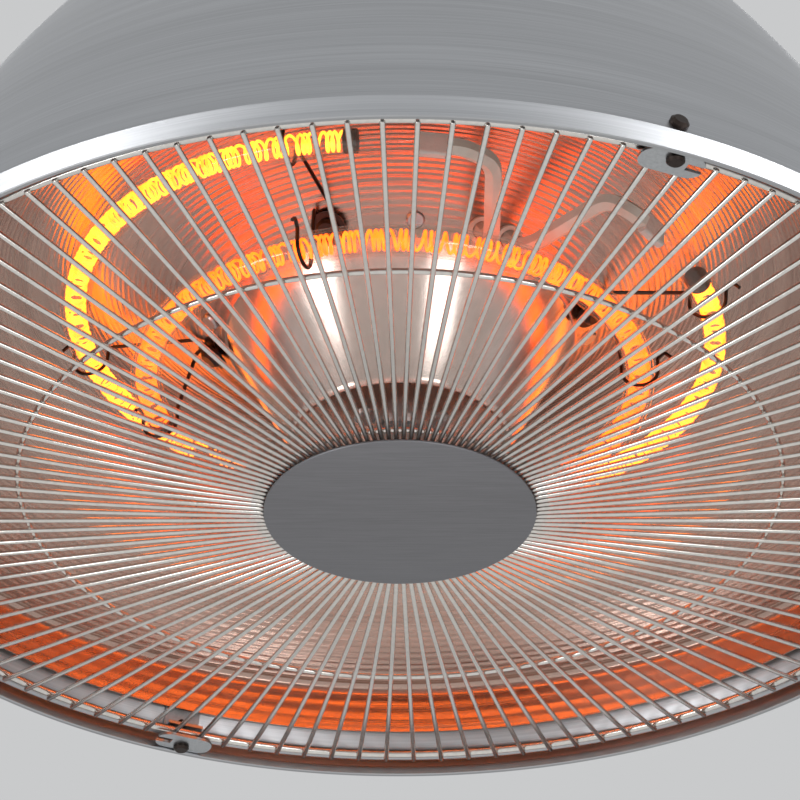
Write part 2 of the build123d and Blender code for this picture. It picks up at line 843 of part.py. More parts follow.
inner_end = on_ring(guard_wire_inner_radius, 90, wire_height(guard_wire_inner_radius))
outer_end = on_ring(guard_wire_outer_radius, 90, wire_height(guard_wire_outer_radius))
run = outer_end - inner_end
with BuildPart() as guard_wire:
    with BuildSketch(Plane(origin=inner_end, x_dir=section.z_dir, z_dir=run)):
        RegularPolygon(guard_wire_radius, 6, rotation=30)
    extrude(amount=run.length)
with BuildPart() as guard_wires:
    with PolarLocations(0, guard_wire_count, guard_wire_start_azimuth):
        add(guard_wire.part)
save(guard_wires, "guard_wires")

guard_rings = (
    ("guard_hoop", guard_hoop_radius, guard_hoop_height, guard_hoop_wire_radius),
    (
        "guard_mid_ring",
        guard_mid_ring_radius,
        ring_height(guard_mid_ring_radius, guard_mid_ring_wire_radius),
        guard_mid_ring_wire_radius,
    ),
    (
        "guard_inner_ring",
        guard_inner_ring_radius,
        ring_height(guard_inner_ring_radius, guard_inner_ring_wire_radius),
        guard_inner_ring_wire_radius,
    ),
)
for name, radius, height, wire_radius in guard_rings:
    with BuildPart() as guard_ring:
        with BuildSketch(section):
            with Locations((radius, height)):
                RegularPolygon(wire_radius, 8, rotation=22.5)
        revolve(axis=Axis.Z)
    save(guard_ring, name)

with BuildPart() as guard_disc:
    with BuildSketch(level(guard_disc_height)):
        Circle(guard_disc_radius)
    extrude(amount=guard_disc_thickness)
    fillet(guard_disc.edges().group_by(Axis.Z)[0], 0.4 * guard_disc_thickness)
save(guard_disc, "guard_disc")


# Guard clips: flat plates under the hoop, forked at one end and rounded at the other
clip_top = wire_height(guard_clip_inner_radius) - guard_wire_radius - guard_clip_gap
clip_middle = (guard_clip_inner_radius + guard_clip_outer_radius) / 2
clip_width = guard_clip_outer_radius - guard_clip_inner_radius
with BuildPart() as guard_clips:
    for azimuth in guard_clip_azimuths:
        base = around(rim, azimuth)
        flat = Plane(origin=on_ring(0, azimuth, clip_top), x_dir=base.x_dir, z_dir=(0, 0, -1))
        with BuildSketch(flat):
            with Locations((clip_middle, 0)):
                RectangleRounded(clip_width, guard_clip_length, 0.45 * clip_width)
            with Locations((clip_middle, -guard_clip_length / 2)):
                Rectangle(guard_clip_fork_width, 2 * guard_clip_fork_depth, mode=Mode.SUBTRACT)
            with Locations((guard_clip_screw_circle, 0)):
                Circle(guard_clip_screw_radius, mode=Mode.SUBTRACT)
        extrude(amount=guard_clip_thickness)
    intersect_radius = guard_clip_outer_radius
    with BuildSketch(level(clip_top - 2 * guard_clip_thickness)):
        Circle(intersect_radius)
    extrude(amount=3 * guard_clip_thickness, mode=Mode.INTERSECT)
save(guard_clips, "guard_clips")

# Brackets inside the wall: an upright leg on the wall and a level leg that takes the clip's screw
level_leg_height = guard_hoop_height + guard_hoop_wire_radius + bracket_hoop_gap
wall_thickness_level = shade_sheet / cos(radians(wall_foot_lean))
with BuildPart() as guard_brackets:
    for azimuth in guard_clip_azimuths:
        base = around(rim, azimuth)
        face = wall_normal_plane(azimuth, shade_screw_height)
        inner = -shade_sheet - bracket_gap
        lean = radians(wall_foot_lean)
        leg_reach = wall_foot_radius - (level_leg_height - wall_foot_height) * tan(lean)
        leg_reach -= (shade_sheet + bracket_gap) / cos(lean)
        top_height = level_leg_height + bracket_height
        top_reach = leg_reach - bracket_height * tan(lean)
        thickness = bracket_thickness / cos(lean)
        with BuildSketch(base):
            Polygon(
                (bracket_inner_radius, level_leg_height),
                (leg_reach, level_leg_height),
                (top_reach, top_height),
                (top_reach - thickness, top_height),
                (leg_reach - bracket_thickness * tan(lean) - thickness, level_leg_height + bracket_thickness),
                (bracket_inner_radius, level_leg_height + bracket_thickness),
                align=None,
            )
        extrude(amount=bracket_width / 2, both=True)
        with BuildSketch(face):
            Circle(shade_screw_radius)
        extrude(amount=-3 * bracket_thickness - shade_sheet, mode=Mode.SUBTRACT)
        with BuildSketch(Plane(on_ring(guard_clip_screw_circle, azimuth, level_leg_height))):
            Circle(guard_clip_screw_radius)
        extrude(amount=2 * bracket_thickness, both=True, mode=Mode.SUBTRACT)
save(guard_brackets, "guard_brackets")

clip_screw_length = level_leg_height + bracket_thickness - clip_top + guard_clip_thickness
with BuildPart() as guard_clip_screws:
    for azimuth in guard_clip_azimuths:
        foot = on_ring(guard_clip_screw_circle, azimuth, clip_top - guard_clip_thickness)
        add(screw_on(
            Plane(foot, z_dir=(0, 0, -1)),
            guard_clip_screw_radius,
            clip_screw_length,
            guard_clip_head_radius,
            guard_clip_head_height,
        ))
save(guard_clip_screws, "guard_clip_screws")

with BuildPart() as shade_screws:
    for azimuth in guard_clip_azimuths:
        add(screw_on(
            wall_normal_plane(azimuth, shade_screw_height),
            shade_screw_radius,
            shade_sheet + bracket_gap + bracket_thickness + 0.4,
            shade_screw_head_radius,
            shade_screw_head_height,
            0.05,
        ))
save(shade_screws, "shade_screws")


# Centre rod with its washers, nuts and spacer tube
plate_foot = floor_top + stiffener_plate_thickness
rod_foot = cone_floor_height - washer_thickness - nut_height - rod_foot_length
rod_top = eye_base + eye_collar_height - 1
with BuildPart() as centre_rod:
    with BuildSketch(level(rod_foot)):
        Circle(rod_radius)
    extrude(amount=rod_top - rod_foot)
    chamfer(centre_rod.edges(), 0.6)
save(centre_rod, "centre_rod")

with BuildPart() as rod_washers:
    for foot in (cone_floor_height - washer_thickness, plate_top):
        with BuildSketch(level(foot)):
            Circle(washer_radius)
            Circle(rod_radius + rod_clearance, mode=Mode.SUBTRACT)
        extrude(amount=washer_thickness)
save(rod_washers, "rod_washers")

with BuildPart() as rod_nuts:
    for foot in (cone_floor_height - washer_thickness - nut_height, plate_top + washer_thickness):
        add(hex_nut(level(foot), nut_across_flats, nut_height, rod_radius))
save(rod_nuts, "rod_nuts")

with BuildPart() as spacer_tube:
    with BuildSketch(level(plate_foot)):
        Circle(spacer_tube_radius)
        Circle(rod_radius + rod_clearance, mode=Mode.SUBTRACT)
    extrude(amount=crown_height - plate_foot)
save(spacer_tube, "spacer_tube")


# Crown plate on the shade's flat crown, with its screws and nuts
with BuildPart() as crown_plate:
    with BuildSketch(level(crown_height)):
        Circle(crown_plate_radius)
        Circle(rod_radius + rod_clearance, mode=Mode.SUBTRACT)
        with PolarLocations(crown_screw_circle, crown_screw_count, crown_screw_azimuth - 90):
            Circle(crown_screw_radius + rod_clearance, mode=Mode.SUBTRACT)
        with Locations(earth_screw_place):
            Circle(earth_screw_radius, mode=Mode.SUBTRACT)
        for hole_radius, hole_azimuth in wire_holes:
            with PolarLocations(hole_radius, 1, hole_azimuth - 90):
                Circle(lead_wire_radius + lead_wire_clearance, mode=Mode.SUBTRACT)
    extrude(amount=crown_plate_thickness)
    fillet(crown_plate.edges().group_by(Axis.Z)[-1].sort_by(SortBy.LENGTH)[-1], 0.5)
save(crown_plate, "crown_plate")

crown_nut_seat = crown_height - shade_sheet
with BuildPart() as crown_screws:
    for index in range(crown_screw_count):
        azimuth = crown_screw_azimuth + index * 360 / crown_screw_count
        head = Plane(on_ring(crown_screw_circle, azimuth, plate_top))
        add(screw_on(
            head,
            crown_screw_radius,
            crown_plate_thickness + shade_sheet + clip_nut_height + 1,
            crown_screw_head_radius,
            crown_screw_head_height,
        ))
save(crown_screws, "crown_screws")

with BuildPart() as crown_nuts:
    for index in range(crown_screw_count):
        azimuth = crown_screw_azimuth + index * 360 / crown_screw_count
        seat = Plane(on_ring(crown_screw_circle, azimuth, crown_nut_seat), z_dir=(0, 0, -1))
        add(hex_nut(seat, 2 * clip_nut_radius * cos(pi / 6), clip_nut_height, crown_screw_radius))
save(crown_nuts, "crown_nuts")


# Terminals, thermal cut-out and earth screw on the crown plate
block_middle = terminal_front + terminal_depth / 2
screw_well_depth = 0.35 * terminal_height
with BuildPart() as terminal_block:
    with BuildSketch(level(plate_top)):
        with Locations((0, block_middle)):
            RectangleRounded(terminal_length, terminal_depth, 1.2)
    extrude(amount=terminal_height)
    with BuildSketch(level(plate_top + terminal_height)):
        for place in terminal_wire_places:
            with Locations((place, block_middle)):
                Circle(1.2 * terminal_screw_radius)
    extrude(amount=-screw_well_depth, mode=Mode.SUBTRACT)
    with BuildSketch(level(plate_top + terminal_height)):
        for near, far in zip(terminal_wire_places, terminal_wire_places[1:]):
            with Locations(((near + far) / 2, block_middle)):
                Rectangle(0.8, terminal_depth)
    extrude(amount=-0.5 * screw_well_depth, mode=Mode.SUBTRACT)
save(terminal_block, "terminal_block")

with BuildPart() as terminal_screws:
    for place in terminal_wire_places:
        foot = Vector(place, block_middle, plate_top + terminal_height - screw_well_depth - hang_height)
        with BuildSketch(Plane(foot)):
            Circle(terminal_screw_radius)
        extrude(amount=0.7 * screw_well_depth)
        with BuildSketch(Plane(foot + Vector(0, 0, 0.7 * screw_well_depth))):
            Rectangle(2 * terminal_screw_radius, 0.5)
        extrude(amount=-0.8, mode=Mode.SUBTRACT)
save(terminal_screws, "terminal_screws")

with BuildPart() as thermal_cutout:
    with BuildSketch(level(plate_top)):
        with Locations(cutout_place):
            Circle(cutout_radius)
    extrude(amount=cutout_height)
    with BuildSketch(level(plate_top)):
        with Locations(cutout_place):
            SlotOverall(2 * cutout_radius + 6 * cutout_flange, cutout_radius)
    extrude(amount=cutout_flange)
    with BuildSketch(level(plate_top + cutout_height)):
        with Locations(cutout_place):
            with Locations((-0.5 * cutout_radius, 0), (0.5 * cutout_radius, 0)):
                Rectangle(0.8, 0.7 * cutout_radius)
    extrude(amount=cutout_height)
save(thermal_cutout, "thermal_cutout")

with BuildPart() as earth_screw:
    foot = Vector(*earth_screw_place, plate_top - hang_height)
    add(screw_on(
        Plane(foot),
        earth_screw_radius,
        crown_plate_thickness,
        earth_screw_head_radius,
        earth_screw_head_height,
    ))
    with BuildSketch(Plane(foot + Vector(0, 0, earth_screw_head_height))):
        Rectangle(2 * earth_screw_head_radius, 0.8)
    extrude(amount=-1.0, mode=Mode.SUBTRACT)
save(earth_screw, "earth_screw")


# Top cap: a spun cap with slots all round, and a hole in its roof for the gland
with BuildPart() as top_cap:
    with BuildSketch(section):
        with BuildLine():
            cap_outline = FilletPolyline(
                (cap_foot_radius, crown_height),
                (cap_shoulder_radius, cap_top),
                (rod_radius + rod_clearance, cap_top),
                radius=cap_corner_radius,
            )
            offset(amount=cap_sheet, side=Side.LEFT)
        make_face()
    revolve(axis=Axis.Z)
    split(bisect_by=level(crown_height), keep=Keep.TOP)
    vent_middle = crown_height + vent_foot_height + vent_height / 2
    for index in range(vent_count):
        side = around(rim, index * 360 / vent_count)
        outside = side.from_local_coords(Vector(cap_foot_radius, vent_middle, 0))
        with BuildSketch(Plane(origin=outside, x_dir=side.y_dir, z_dir=side.x_dir)):
            Rectangle(vent_height, vent_width)
        extrude(amount=-3 * (cap_foot_radius - cap_shoulder_radius), mode=Mode.SUBTRACT)
    with BuildSketch(Plane(on_ring(gland_circle, 0, cap_top))):
        Circle(gland_thread_radius + rod_clearance / 2)
    extrude(amount=-3 * cap_sheet, mode=Mode.SUBTRACT)
save(top_cap, "top_cap")


# Cable gland in the roof: body, nut below and soft seal inside
gland_axis = Axis(on_ring(gland_circle, 0, 0), (0, 0, 1))
seal_radius = gland_bore_radius + gland_seal_wall
gland_face = Plane(on_ring(gland_circle, 0, cap_top))
with BuildPart() as cable_gland:
    with BuildSketch(gland_face):
        RegularPolygon(gland_hex_across_flats / 2, 6, major_radius=False)
    extrude(amount=gland_hex_height)
    with BuildSketch(gland_face.offset(gland_hex_height)):
        Circle(gland_dome_radius)
    extrude(amount=gland_dome_height)
    fillet(cable_gland.edges().group_by(Axis.Z)[-1], 0.3 * (gland_dome_radius - gland_bore_radius))
    with BuildSketch(gland_face):
        Circle(gland_thread_radius)
    extrude(amount=-gland_tail_length)
    with BuildSketch(gland_face.offset(-gland_tail_length)):
        Circle(seal_radius)
    extrude(
        amount=gland_tail_length + gland_hex_height + gland_dome_height,
        mode=Mode.SUBTRACT,
    )
save(cable_gland, "cable_gland")

with BuildPart() as gland_nut:
    nut_face = gland_face.offset(-cap_sheet - gland_nut_height)
    add(hex_nut(nut_face, gland_nut_across_flats, gland_nut_height, gland_thread_radius))
save(gland_nut, "gland_nut")

with BuildPart() as gland_seal:
    with BuildSketch(gland_face.offset(gland_hex_height)):
        Circle(seal_radius)
        Circle(gland_bore_radius, mode=Mode.SUBTRACT)
    extrude(amount=gland_dome_height)
save(gland_seal, "gland_seal")


# Eye nut on the centre rod, with its washer on the cap
with BuildPart() as eye_washer:
    with BuildSketch(level(cap_top)):
        Circle(eye_collar_radius + 2 * washer_thickness)
        Circle(rod_radius + rod_clearance, mode=Mode.SUBTRACT)
    extrude(amount=washer_thickness)
save(eye_washer, "eye_washer")

front = Plane.XZ
with BuildPart() as eye_nut:
    with BuildSketch(level(eye_base)):
        Circle(eye_collar_radius)
    extrude(amount=eye_collar_height)
    chamfer(eye_nut.edges().group_by(Axis.Z)[-1], 1.2)
    with BuildSketch(Plane(origin=(eye_ring_radius, 0, eye_centre - hang_height), z_dir=(0, 0, 1))):
        Circle(eye_wire_radius)
    revolve(axis=Axis((0, 0, eye_centre - hang_height), (0, 1, 0)))
    with BuildSketch(level(eye_base)):
        Circle(rod_radius)
    extrude(amount=eye_collar_height - 1, mode=Mode.SUBTRACT)
    with BuildSketch(level(eye_base - eye_wire_radius)):
        Circle(2 * eye_collar_radius)
    extrude(amount=eye_wire_radius, mode=Mode.SUBTRACT)
save(eye_nut, "eye_nut")


# Hanging link: an oblong of round wire between the eye and the snap hook
link_bend = link_inner_width / 2 + link_wire_radius
with BuildPart() as hanging_link:
    with BuildLine(Plane.YZ) as link_line:
        low = link_bottom_wire + link_bend - hang_height
        high = link_top_wire - link_bend - hang_height
        Line((link_bend, low), (link_bend, high))
        CenterArc((0, high), link_bend, 0, 180)
        Line((-link_bend, high), (-link_bend, low))
        CenterArc((0, low), link_bend, 180, 180)
    with BuildSketch(Plane(origin=(0, link_bend, low), z_dir=(0, 0, 1))):
        Circle(link_wire_radius)
    sweep(path=link_line.wire())
save(hanging_link, "hanging_link")


# Snap hook: an oval of round wire, open at the right between its stub and its nose
pivot_height = hook_lower_bend + gate_stub_length + gate_shoulder_gap + gate_knuckle_radius
nose_height = pivot_height + gate_length + gate_nose_gap
stub_top = hook_lower_bend + gate_stub_length - hang_height
pivot = Plane(origin=(hook_half_width, 0, pivot_height - hang_height), x_dir=(1, 0, 0), z_dir=(0, -1, 0))
with BuildPart() as snap_hook:
    with BuildLine(Plane.XZ) as hook_line:
        low = hook_lower_bend - hang_height
        high = hook_upper_bend - hang_height
        Line((hook_half_width, stub_top), (hook_half_width, low))
        CenterArc((0, low), hook_half_width, 0, -180)
        Line((-hook_half_width, low), (-hook_half_width, high))
        CenterArc((0, high), hook_half_width, 180, -180)
        Line((hook_half_width, high), (hook_half_width, nose_height - hang_height))
    with BuildSketch(Plane(origin=(hook_half_width, 0, stub_top), z_dir=(0, 0, -1))):
        Circle(hook_wire_radius)
    sweep(path=hook_line.wire())
    with BuildSketch(pivot):
        Circle(gate_tongue_radius)
        with Locations((0, -(pivot_height - hook_lower_bend) / 2)):
            Rectangle(2 * gate_tongue_radius, pivot_height - hook_lower_bend)
    extrude(amount=gate_tongue_thickness / 2, both=True)
    with BuildSketch(pivot):
        Circle(gate_pin_radius)
    extrude(amount=gate_tongue_thickness, both=True, mode=Mode.SUBTRACT)
save(snap_hook, "snap_hook")

# Gate of the snap hook, slotted over the hook's tongue, and its pin
slot_half = gate_tongue_thickness / 2 + gate_slot_clearance
with BuildPart() as snap_gate:
    with BuildSketch(pivot):
        Circle(gate_knuckle_radius)
    extrude(amount=gate_radius, both=True)
    with BuildSketch(Plane(pivot.origin)):
        Circle(gate_radius)
    extrude(amount=gate_length)
    fillet(snap_gate.edges().group_by(Axis.Z)[-1], 0.5)
    with BuildSketch(pivot):
        with Locations((0, gate_tongue_radius + gate_shoulder_gap - 2 * gate_knuckle_radius)):
            Rectangle(3 * gate_knuckle_radius, 4 * gate_knuckle_radius)
    extrude(amount=slot_half, both=True, mode=Mode.SUBTRACT)
    with BuildSketch(pivot):
        Circle(gate_pin_radius + gate_pin_clearance)
    extrude(amount=2 * gate_radius, both=True, mode=Mode.SUBTRACT)
save(snap_gate, "snap_gate")

with BuildPart() as gate_pin:
    with BuildSketch(pivot):
        Circle(gate_pin_radius)
    extrude(amount=gate_radius, both=True)
save(gate_pin, "gate_pin")
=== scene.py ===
"""Looks of a hanging electric patio heater, built around its packed CAD frame.

Everything is in metres, in the frame's own axes. The heater hangs from its snap
hook, and the lower edge of the shade is the level that the heights are counted from.
"""

from collections import namedtuple
from math import acos, atan2, cos, pi, radians, sin, sqrt, tan

import bpy
from bpy.props import FloatProperty, FloatVectorProperty, IntProperty, PointerProperty
from mathutils import Matrix, Vector


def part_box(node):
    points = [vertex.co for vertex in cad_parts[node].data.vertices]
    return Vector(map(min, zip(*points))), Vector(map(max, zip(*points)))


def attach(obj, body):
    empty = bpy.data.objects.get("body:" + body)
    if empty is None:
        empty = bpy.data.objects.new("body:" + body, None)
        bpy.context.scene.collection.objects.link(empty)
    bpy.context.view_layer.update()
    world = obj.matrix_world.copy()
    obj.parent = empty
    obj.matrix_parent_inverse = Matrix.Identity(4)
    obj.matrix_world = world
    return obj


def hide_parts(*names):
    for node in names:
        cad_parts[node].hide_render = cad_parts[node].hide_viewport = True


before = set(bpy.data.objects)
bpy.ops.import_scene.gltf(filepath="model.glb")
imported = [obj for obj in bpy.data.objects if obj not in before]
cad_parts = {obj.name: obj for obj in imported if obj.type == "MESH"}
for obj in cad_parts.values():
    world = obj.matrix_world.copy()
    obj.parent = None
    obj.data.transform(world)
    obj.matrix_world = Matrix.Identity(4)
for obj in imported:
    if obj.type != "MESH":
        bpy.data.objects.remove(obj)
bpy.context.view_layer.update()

bl_info = {
    "name": "Patio heater looks",
    "version": (1, 0, 0),
    "blender": (4, 5, 0),
    "location": "View3D > Sidebar > Heater",
    "description": "Shade, reflector, guard, heat lamps and finishes of a hanging heater",
    "category": "Object",
}

MM = 0.001
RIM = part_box("outer_shade")[0].z
UP = Vector((0.0, 0.0, 1.0))
SPUN_STEPS = 288
SMALL_SPUN_STEPS = 192
LINE_PITCH = 0.5 * MM
LINE_DRIFT = 1.2 * MM


# Places and shapes

def ring_point(radius, azimuth, height):
    """A point at a radius and azimuth (from the front, towards the right), above the rim."""
    return Vector((radius * sin(azimuth), -radius * cos(azimuth), RIM + height))


def arc_points(centre, radius, start, end, steps):
    """Points of a circular arc in the (radius, height) section, from one angle to another."""
    points = []
    for step in range(steps + 1):
        angle = start + (end - start) * step / steps
        points.append((centre[0] + radius * cos(angle), centre[1] + radius * sin(angle)))
    return points


def tangent_arc(start, heading, end, steps):
    """Points of the arc that leaves start along heading and ends at end, with its last heading."""
    chord = Vector(end) - Vector(start)
    heading = Vector(heading).normalized()
    side = Vector((-heading.y, heading.x))
    radius = chord.length_squared / (2.0 * chord.dot(side))
    centre = Vector(start) + side * radius
    first = atan2(start[1] - centre.y, start[0] - centre.x)
    last = atan2(end[1] - centre.y, end[0] - centre.x)
    if radius > 0.0 and last < first:
        last += 2.0 * pi
    if radius < 0.0 and last > first:
        last -= 2.0 * pi
    points = arc_points(centre, abs(radius), first, last, steps)
    turn = 1.0 if radius > 0.0 else -1.0
    return points[1:], (-sin(last) * turn, cos(last) * turn)


def sheet_section(face, thickness):
    """Closed section of a sheet: the given face, and the same face moved out by the thickness."""
    back = []
    for index, point in enumerate(face):
        before = Vector(face[max(index - 1, 0)])
        after = Vector(face[min(index + 1, len(face) - 1)])
        run = (after - before).normalized()
        back.append((point[0] + run.y * thickness, point[1] - run.x * thickness))
    return list(face) + back[::-1]


def new_piece(name, vertices, faces, sharp_angle, body, material, replaced):
    """Makes a smooth-shaded mesh piece that stands for CAD nodes and rides on a body."""
    mesh = bpy.data.meshes.new(name)
    mesh.from_pydata(vertices, [], faces)
    mesh.polygons.foreach_set("use_smooth", [True] * len(mesh.polygons))
    mesh.set_sharp_from_angle(angle=sharp_angle)
    mesh.materials.append(material)
    mesh.validate()
    piece = bpy.data.objects.new(name, mesh)
    bpy.context.scene.collection.objects.link(piece)
    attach(piece, body)
    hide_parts(*replaced)
    return piece


def spun_mesh(section, segments):
    """Vertices and faces of a closed (radius, height) section turned about the centre line."""
    count = len(section)
    vertices = []
    faces = []
    for turn in range(segments):
        azimuth = 2.0 * pi * turn / segments
        for radius, height in section:
            vertices.append(ring_point(radius, azimuth, height))
    for turn in range(segments):
        here = turn * count
        there = ((turn + 1) % segments) * count
        for index in range(count):
            after = (index + 1) % count
            faces.append((here + index, there + index, there + after, here + after))
    return vertices, faces


def wire_mesh(path, radii, sides, closed):
    """Vertices and faces of a round wire along a path, with a radius at each point."""
    count = len(path)
    vertices = []
    faces = []
    across = None
    for index, point in enumerate(path):
        before = path[index - 1] if closed or index > 0 else point
        after = path[(index + 1) % count] if closed or index < count - 1 else point
        run = (after - before).normalized()
        if across is None:
            across = run.cross(UP)
            if across.length < 0.1:
                across = run.cross(Vector((1.0, 0.0, 0.0)))
        across = (across - run * across.dot(run)).normalized()
        upward = run.cross(across)
        for side in range(sides):
            angle = 2.0 * pi * side / sides
            vertices.append(point + (across * cos(angle) + upward * sin(angle)) * radii[index])
    for index in range(count if closed else count - 1):
        here = index * sides
        there = ((index + 1) % count) * sides
        for side in range(sides):
            after = (side + 1) % sides
            faces.append((here + side, there + side, there + after, here + after))
    if not closed:
        faces.append(tuple(range(sides)))
        faces.append(tuple(range(count * sides - 1, (count - 1) * sides - 1, -1)))
    return vertices, faces


def joined(parts):
    """One list of vertices and one of faces from several (vertices, faces) parts."""
    vertices = []
    faces = []
    for part_vertices, part_faces in parts:
        shift = len(vertices)
        vertices.extend(part_vertices)
        faces.extend(tuple(corner + shift for corner in face) for face in part_faces)
    return vertices, faces


# Finishes

def hex_colour(code):
    """Linear RGBA of an sRGB hex colour."""
    channels = []
    for start in (0, 2, 4):
        value = int(code[start:start + 2], 16) / 255.0
        channels.append(value / 12.92 if value <= 0.04045 else ((value + 0.055) / 1.055) ** 2.4)
    return (*channels, 1.0)


def add_node(tree, kind, settings=None, inputs=None):
    """Adds a node, sets its settings, and sets or links its inputs."""
    node = tree.nodes.new(kind)
    for key, value in (settings or {}).items():
        setattr(node, key, value)
    for key, value in (inputs or {}).items():
        if isinstance(value, bpy.types.NodeSocket):
            tree.links.new(value, node.inputs[key])
        else:
            node.inputs[key].default_value = value
    return node


def empty_material(name):
    """A material with an empty node tree, and its output node."""
    material = bpy.data.materials.new(name)
    material.use_nodes = True
    material.node_tree.nodes.clear()
    output = add_node(material.node_tree, "ShaderNodeOutputMaterial")
    return material, material.node_tree, output


def turned_position(tree, along_radius, along_height):
    """A position that hardly changes round a turned piece, and its part across the turning lines.

    X and Y hold the direction from the centre line and Z the distance across the lines, so a
    noise read there gives fine lines that run round the piece, as a lathe tool leaves.
    """
    place = add_node(tree, "ShaderNodeTexCoord")
    axes = add_node(tree, "ShaderNodeSeparateXYZ", inputs={"Vector": place.outputs["Object"]})
    flat = add_node(tree, "ShaderNodeCombineXYZ",
                    inputs={"X": axes.outputs["X"], "Y": axes.outputs["Y"]})
    radius = add_node(tree, "ShaderNodeVectorMath", {"operation": "LENGTH"}, {0: flat.outputs[0]})
    direction = add_node(tree, "ShaderNodeVectorMath", {"operation": "NORMALIZE"},
                         {0: flat.outputs[0]})
    reach = add_node(tree, "ShaderNodeMath", {"operation": "MULTIPLY"},
                     {0: radius.outputs["Value"], 1: along_radius})
    rise = add_node(tree, "ShaderNodeMath", {"operation": "MULTIPLY"},
                    {0: axes.outputs["Z"], 1: along_height})
    across = add_node(tree, "ShaderNodeMath", {"operation": "ADD"},
                      {0: reach.outputs[0], 1: rise.outputs[0]})
    stretched = add_node(tree, "ShaderNodeVectorMath", {"operation": "SCALE"},
                         {0: direction.outputs[0], "Scale": LINE_DRIFT})
    parts = add_node(tree, "ShaderNodeSeparateXYZ", inputs={"Vector": stretched.outputs[0]})
    turned = add_node(tree, "ShaderNodeCombineXYZ",
                      inputs={"X": parts.outputs["X"], "Y": parts.outputs["Y"],
                              "Z": across.outputs[0]})
    return turned.outputs[0], across.outputs[0]


def spun_aluminium(light_tone):
    # Sheet aluminium spun over a form and left satin: fine lines run round the shade
    # and stretch every highlight across them. The lines are about 0.1 mm apart on the
    # real sheet and are drawn 0.5 mm apart, so that they show.
    material, tree, output = empty_material("spun aluminium, satin")
    line_scale = 1.0 / LINE_PITCH
    lines_to_a_band = 14.0
    turned = turned_position(tree, -1.0, 1.0)[0]
    lines = add_node(tree, "ShaderNodeTexNoise", {"noise_dimensions": "3D"},
                     {"Vector": turned, "Scale": line_scale, "Detail": 4.0, "Roughness": 0.65})
    bands = add_node(tree, "ShaderNodeTexNoise", {"noise_dimensions": "3D"},
                     {"Vector": turned, "Scale": line_scale / lines_to_a_band, "Detail": 2.0})
    tone = add_node(tree, "ShaderNodeMix", {"data_type": "RGBA"},
                    {0: lines.outputs[0], 6: hex_colour("A6A8AC"), 7: light_tone})
    tone_wide = add_node(tree, "ShaderNodeMix", {"data_type": "RGBA", "blend_type": "MULTIPLY"},
                         {0: 0.35, 6: tone.outputs[2], 7: bands.outputs[0]})
    haze = add_node(tree, "ShaderNodeMapRange", {},
                    {"Value": bands.outputs[0], "To Min": 0.26, "To Max": 0.42})
    relief = add_node(tree, "ShaderNodeBump", {},
                      {"Strength": 0.5, "Distance": 0.06 * MM, "Height": lines.outputs[0]})
    round_axis = add_node(tree, "ShaderNodeTangent", {"direction_type": "RADIAL", "axis": "Z"})
    shader = add_node(tree, "ShaderNodeBsdfPrincipled", {},
                      {"Base Color": tone_wide.outputs[2], "Metallic": 1.0,
                       "Roughness": haze.outputs[0], "Anisotropic": 0.7,
                       "Normal": relief.outputs[0], "Tangent": round_axis.outputs[0]})
    tree.links.new(shader.outputs[0], output.inputs["Surface"])
    return material


def grooved_reflector(light_tone, groove_pitch):
    # Bright aluminium turned with shallow grooves and anodised clear: a strong mirror
    # whose reflections of the lamps break into rings and run across them. Both of its
    # salmon tones are painted reflection of the lamps' orange glow on silver metal.
    material, tree, output = empty_material("grooved reflector aluminium, anodised")
    turned, across = turned_position(tree, 1.0, -0.35)
    grooves = add_node(tree, "ShaderNodeMath", {"operation": "MULTIPLY"},
                       {0: across, 1: 2.0 * pi / groove_pitch})
    wander = add_node(tree, "ShaderNodeTexNoise", {"noise_dimensions": "3D"},
                      {"Vector": turned, "Scale": 1.0 / (3.0 * MM), "Detail": 3.0})
    shifted = add_node(tree, "ShaderNodeMath", {"operation": "MULTIPLY_ADD"},
                       {0: wander.outputs[0], 1: 5.0, 2: grooves.outputs[0]})
    wave = add_node(tree, "ShaderNodeMath", {"operation": "SINE"}, {0: shifted.outputs[0]})
    scratches = add_node(tree, "ShaderNodeTexNoise", {"noise_dimensions": "3D"},
                         {"Vector": turned, "Scale": 1.0 / LINE_PITCH, "Detail": 3.0})
    height = add_node(tree, "ShaderNodeMath", {"operation": "MULTIPLY_ADD"},
                      {0: wave.outputs[0], 1: 0.5, 2: scratches.outputs[0]})
    relief = add_node(tree, "ShaderNodeBump", {},
                      {"Strength": 0.45, "Distance": 0.12 * MM, "Height": height.outputs[0]})
    # Painted reflection: the salmon dark tone and the light tone stand in for the lamps' glow; the
    # noise between them is the metal's own uneven tone.
    tone = add_node(tree, "ShaderNodeMix", {"data_type": "RGBA"},
                    {0: wander.outputs[0], 6: hex_colour("A38A80"),
                     7: light_tone})
    haze = add_node(tree, "ShaderNodeMapRange", {},
                    {"Value": scratches.outputs[0], "To Min": 0.16, "To Max": 0.34})
    round_axis = add_node(tree, "ShaderNodeTangent", {"direction_type": "RADIAL", "axis": "Z"})
    shader = add_node(tree, "ShaderNodeBsdfPrincipled", {},
                      {"Base Color": tone.outputs[2], "Metallic": 1.0,
                       "Roughness": haze.outputs[0], "Anisotropic": 0.75,
                       "Normal": relief.outputs[0], "Tangent": round_axis.outputs[0]})
    tree.links.new(shader.outputs[0], output.inputs["Surface"])
    return material


